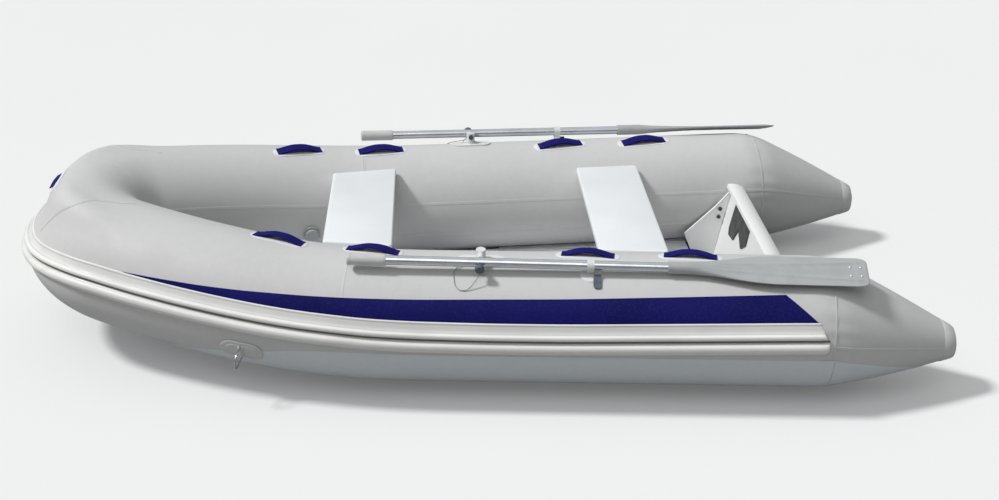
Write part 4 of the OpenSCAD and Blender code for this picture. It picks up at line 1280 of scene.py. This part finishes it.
class DINGHY_OT_holders(bpy.types.Operator):
    """Oar holders: a pad, a strap round the shaft and its loose tail"""
    bl_idname = "dinghy.holders"
    bl_label = "Oar holders"

    def execute(self, context):
        line, fit = sizes(), context.scene.dinghy_fit
        pad = patch("holder_pad", line, line.run_at(HOLDER_X), HOLDER_PAD_A, pill(*HOLDER_PAD_SIZE),
                    PAD_THICK, "trim_fabric")
        place(joined("holder_pad_set", with_twins([pad])), ["holder_pads"])

        rows = []
        tail_at = line.stand(TAIL_X, TAIL_A)
        for y, z, w in TAIL:
            low = z - TAIL_THICK
            rows.append([tail_at @ Vector(p) for p in ((-w, y, z), (w, y, z), (w, y, low), (-w, y, low))])
        tail = loft("holder_tail", rows, "slate_strap")
        place(joined("holder_tails", with_twins([tail])))

        back = (ROWLOCK_X - HOLDER_X) / math.cos(line.splay)
        lever = line.r + PIN_H - back * math.sin(OAR_DIP)
        lean = Matrix.Rotation(-math.atan2(SHAFT_OFF, lever), 4, "X")
        m = oar_stand(line) @ Matrix.Translation((-back, 0, 0)) @ lean
        foot = LEG_H - (math.hypot(SHAFT_OFF, lever) - line.r)
        section = []
        for (play, leg), sweep, way in ((STRAP_IN, STRAP_SWEEP, 1), (STRAP_OUT, STRAP_SWEEP[::-1], -1)):
            r = fit.shaft + play
            arc = [(r * math.cos(a), r * math.sin(a)) for a in sweep]
            section += [(way * leg, foot), *arc, (-way * leg, foot)]
        rings = [[m @ Vector((x, y, z)) for y, z in section] for x in STRAP_EDGES]
        strap = loft("port_holder_loop", rings, "pale_plastic")
        pair = place_pair(strap, "holder_loop", "holder_strap")
        for side, loop in pair.items():
            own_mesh(loop)
        return {"FINISHED"}


# Gap between a seat and the tube, and the radius of its corners
SEAT_GAP, SEAT_CORNER = 0.003, 0.010
# Depth from a seat's face and how far its edge is drawn in there
SEAT_EDGE = ((0, 0.0045), (0.0012, 0.0012), (0.0045, 0))


class DINGHY_OT_seats(bpy.types.Operator):
    """Bench boards with eased edges"""
    bl_idname = "dinghy.seats"
    bl_label = "Seats"

    def reach(self, line, x, z):
        """Half the board's breadth at a station, where it meets the tube at a height."""
        lifted = max(0, x - line.seam_x) * math.tan(line.sheer)
        return line.inner_y(x, z - line.axis_z - lifted) - SEAT_GAP

    def outline(self, line, low, high):
        """The board in plan, from tube to tube, with round corners."""
        r, aft, fore = SEAT_CORNER, self.reach(line, low.x, low.z), self.reach(line, high.x, low.z)
        corners = ((low.x + r, aft - r, 90), (low.x + r, r - aft, 180), (high.x - r, r - fore, 270),
                   (high.x - r, fore - r, 0))
        turns = [(x, y, math.radians(start + d)) for x, y, start in corners for d in range(0, 91, 10)]
        return np.array([(x + r * math.cos(q), y + r * math.sin(q)) for x, y, q in turns])

    def execute(self, context):
        line = sizes()
        for node in ("front_seat", "rear_seat"):
            low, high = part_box(node)
            middle = np.array([(low.x + high.x) / 2, 0])
            spread = self.outline(line, low, high) - middle
            levels = [(low.z + d, e) for d, e in SEAT_EDGE] + [(high.z - d, e) for d, e in SEAT_EDGE[::-1]]
            rings = []
            for z, inset in levels:
                p = middle + spread * (1 - inset / np.abs(spread).max(0))
                rings.append(np.column_stack([p, np.full(len(p), z)]))
            place(loft(node + "_bench", rings, "seat_board", 50), [node])
        return {"FINISHED"}


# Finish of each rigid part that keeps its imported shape
DRESS = {
    "hull_fabric": ("port_cone_cap", "starboard_cone_cap"),
    "trim_fabric": ("front_seat_chocks", "rear_seat_chocks"),
    "marine_ply": ("floor_aft", "floor_middle", "floor_front", "floor_bow"),
    "rail_alloy": ("stringers",),
    "transom_paint": ("transom_board", "transom_cap", "port_knee", "starboard_knee"),
    "dark_plastic": ("inner_motor_pad", "outer_motor_pad", "knee_bolts", "drain_plug"),
    "pale_plastic": ("port_rowlock_base", "starboard_rowlock_base", "port_swivel", "starboard_swivel"),
    "slate_plastic": ("port_pin", "starboard_pin"),
    "oar_alloy": ("port_shaft", "starboard_shaft"),
    "grip_plastic": ("port_grip", "starboard_grip"),
    "ring_steel": ("port_ring", "starboard_ring"),
    "grey_plastic": ("valve_bodies", "port_valve_cap", "starboard_valve_cap", "bow_valve_cap"),
}


class DINGHY_OT_fittings(bpy.types.Operator):
    """Finishes of the rigid parts"""
    bl_idname = "dinghy.fittings"
    bl_label = "Fittings"

    def execute(self, context):
        for finish, nodes in DRESS.items():
            for node in nodes:
                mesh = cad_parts[node].data
                mesh.materials.clear()
                mesh.materials.append(FINISHES[finish])
        return {"FINISHED"}


# Panel and run


STEPS = (
    DINGHY_OT_stage, DINGHY_OT_lanyards, DINGHY_OT_tubes, DINGHY_OT_seams, DINGHY_OT_strake,
    DINGHY_OT_stripes, DINGHY_OT_bottom, DINGHY_OT_handles, DINGHY_OT_oars, DINGHY_OT_holders,
    DINGHY_OT_seats, DINGHY_OT_fittings)
GROUPS = (("dinghy_hull", DinghyHull), ("dinghy_fit", DinghyFit), ("dinghy_colours", DinghyColours))


class DINGHY_PT_panel(bpy.types.Panel):
    """Sizes, colours and steps of the dinghy"""
    bl_idname = "DINGHY_PT_panel"
    bl_label = "Inflatable dinghy"
    bl_space_type = "VIEW_3D"
    bl_region_type = "UI"
    bl_category = "Dinghy"

    def draw(self, context):
        for name, _ in GROUPS:
            owner = getattr(context.scene, name)
            column = self.layout.column(align=True)
            for key in owner.bl_rna.properties.keys():
                if key not in ("rna_type", "name"):
                    column.prop(owner, key)
        for step in STEPS:
            self.layout.operator(step.bl_idname)


def register():
    for key, group in GROUPS:
        bpy.utils.register_class(group)
        setattr(bpy.types.Scene, key, bpy.props.PointerProperty(type=group))
    for step in STEPS:
        bpy.utils.register_class(step)
    bpy.utils.register_class(DINGHY_PT_panel)


def unregister():
    bpy.utils.unregister_class(DINGHY_PT_panel)
    for step in reversed(STEPS):
        bpy.utils.unregister_class(step)
    for key, group in reversed(GROUPS):
        delattr(bpy.types.Scene, key)
        bpy.utils.unregister_class(group)


def main():
    register()
    for step in STEPS:
        kind, name = step.bl_idname.split(".")
        getattr(getattr(bpy.ops, kind), name)()


if __name__ == "__main__":
    main()
